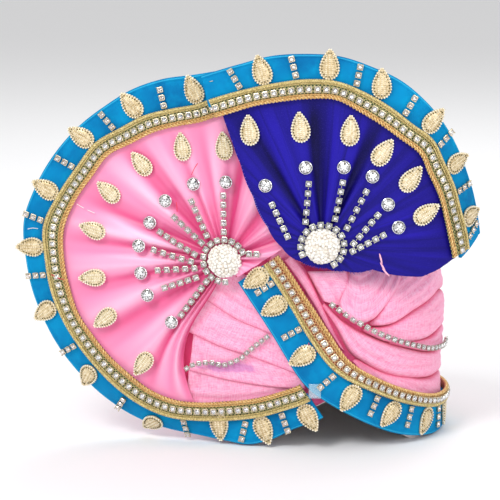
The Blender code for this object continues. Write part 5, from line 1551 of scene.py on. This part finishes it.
for look, bits in ((0, RED_BITS), (1, WHITE_BITS)):
    for bit in bits:
        route = along_rows(np.array(bit) * MM, 14)
        chunks += twisted_cord(wall, route[:, :2], route[:, 2], 0.13 * MM, 1, 1.6 * MM, look)
staple = axes_at(blue_wall, *STAPLE_AT, VELVET_T / 2 + 0.1 * MM, np.radians(10))
chunks.append(repeated(moved(ball(6, 5, 2), (1.1 * MM, 0.22 * MM, 0.2 * MM)), staple))
put(build("tacking_threads", chunks, [thread_red, thread_white, silver]), "cotton")
film = Finish("clear_film", Roughness=0.12, Base_Color=(0.50, 0.76, 0.88, 1.0), Alpha=0.32)
a, b = np.meshgrid(np.linspace(-2.3, 2.2, 8) * MM + FILM_AT[0],
                   np.linspace(-3.2, 3.2, 8) * MM + FILM_AT[1], indexing="ij")
top = ON_BORDER + 0.9 * MM + 0.25 * MM * np.sin((a + b) * 900)
sheet = slab(band_wall(a, b, top), band_wall(a, b, top - 0.1 * MM))
put(build("clear_film_tab", [sheet], [film]), "velvet")


# Stage. A pale floor and soft studio light; the camera stands where the photograph was taken from.
CAMERA_FROM = (-0.03565, -1.2278, 0.2957)
CAMERA_TILT = 80
LENS = 200.9
AIM_AT = np.array([-0.035, 0.0, 0.09])
FLOOR_REACH = 8
floor_finish = Finish("stage_floor", Roughness=0.9, Base_Color=(0.93, 0.93, 0.94, 1.0))
corners = np.array([(-1, -1, 0), (1, -1, 0), (1, 1, 0), (-1, 1, 0)]) * FLOOR_REACH
floor = build("stage_floor", [(corners, [(np.array([[0, 1, 2, 3]]), 0, False)])], [floor_finish])

world = bpy.data.worlds.new("studio")
world.use_nodes = True
sky = world.node_tree.nodes["Background"]
sky.inputs["Color"].default_value = (1.0, 1.0, 1.0, 1.0)
sky.inputs["Strength"].default_value = 0.66
bpy.context.scene.world = world

LIGHTS = [
    # name, place, size, watts
    ("key", (-0.55, -0.85, 0.95), 0.45, 8.0),
    ("fill", (0.75, -0.80, 0.55), 0.60, 3.0),
    ("back", (0.10, 0.80, 0.90), 0.60, 4.0),
    ("low", (0.05, -0.95, 0.10), 0.50, 1.2),
]
for name, place_at, size, watts in LIGHTS:
    lamp = bpy.data.lights.new(name, "AREA")
    lamp.energy = watts
    lamp.size = size
    holder = bpy.data.objects.new(name, lamp)
    holder.location = place_at
    aim = AIM_AT - place_at
    holder.rotation_euler = (np.arctan2(np.hypot(aim[0], aim[1]), -aim[2]), 0.0,
                             np.arctan2(aim[1], aim[0]) - np.pi / 2)
    bpy.context.scene.collection.objects.link(holder)

lens = bpy.data.cameras.new("camera")
lens.lens = LENS
lens.sensor_width = 36.0
lens.clip_start = 0.05
lens.clip_end = 50.0
camera = bpy.data.objects.new("camera", lens)
camera.location = CAMERA_FROM
camera.rotation_euler = (np.radians(CAMERA_TILT), 0.0, 0.0)
bpy.context.scene.collection.objects.link(camera)
bpy.context.scene.camera = camera
bpy.context.scene.view_settings.view_transform = "Standard"
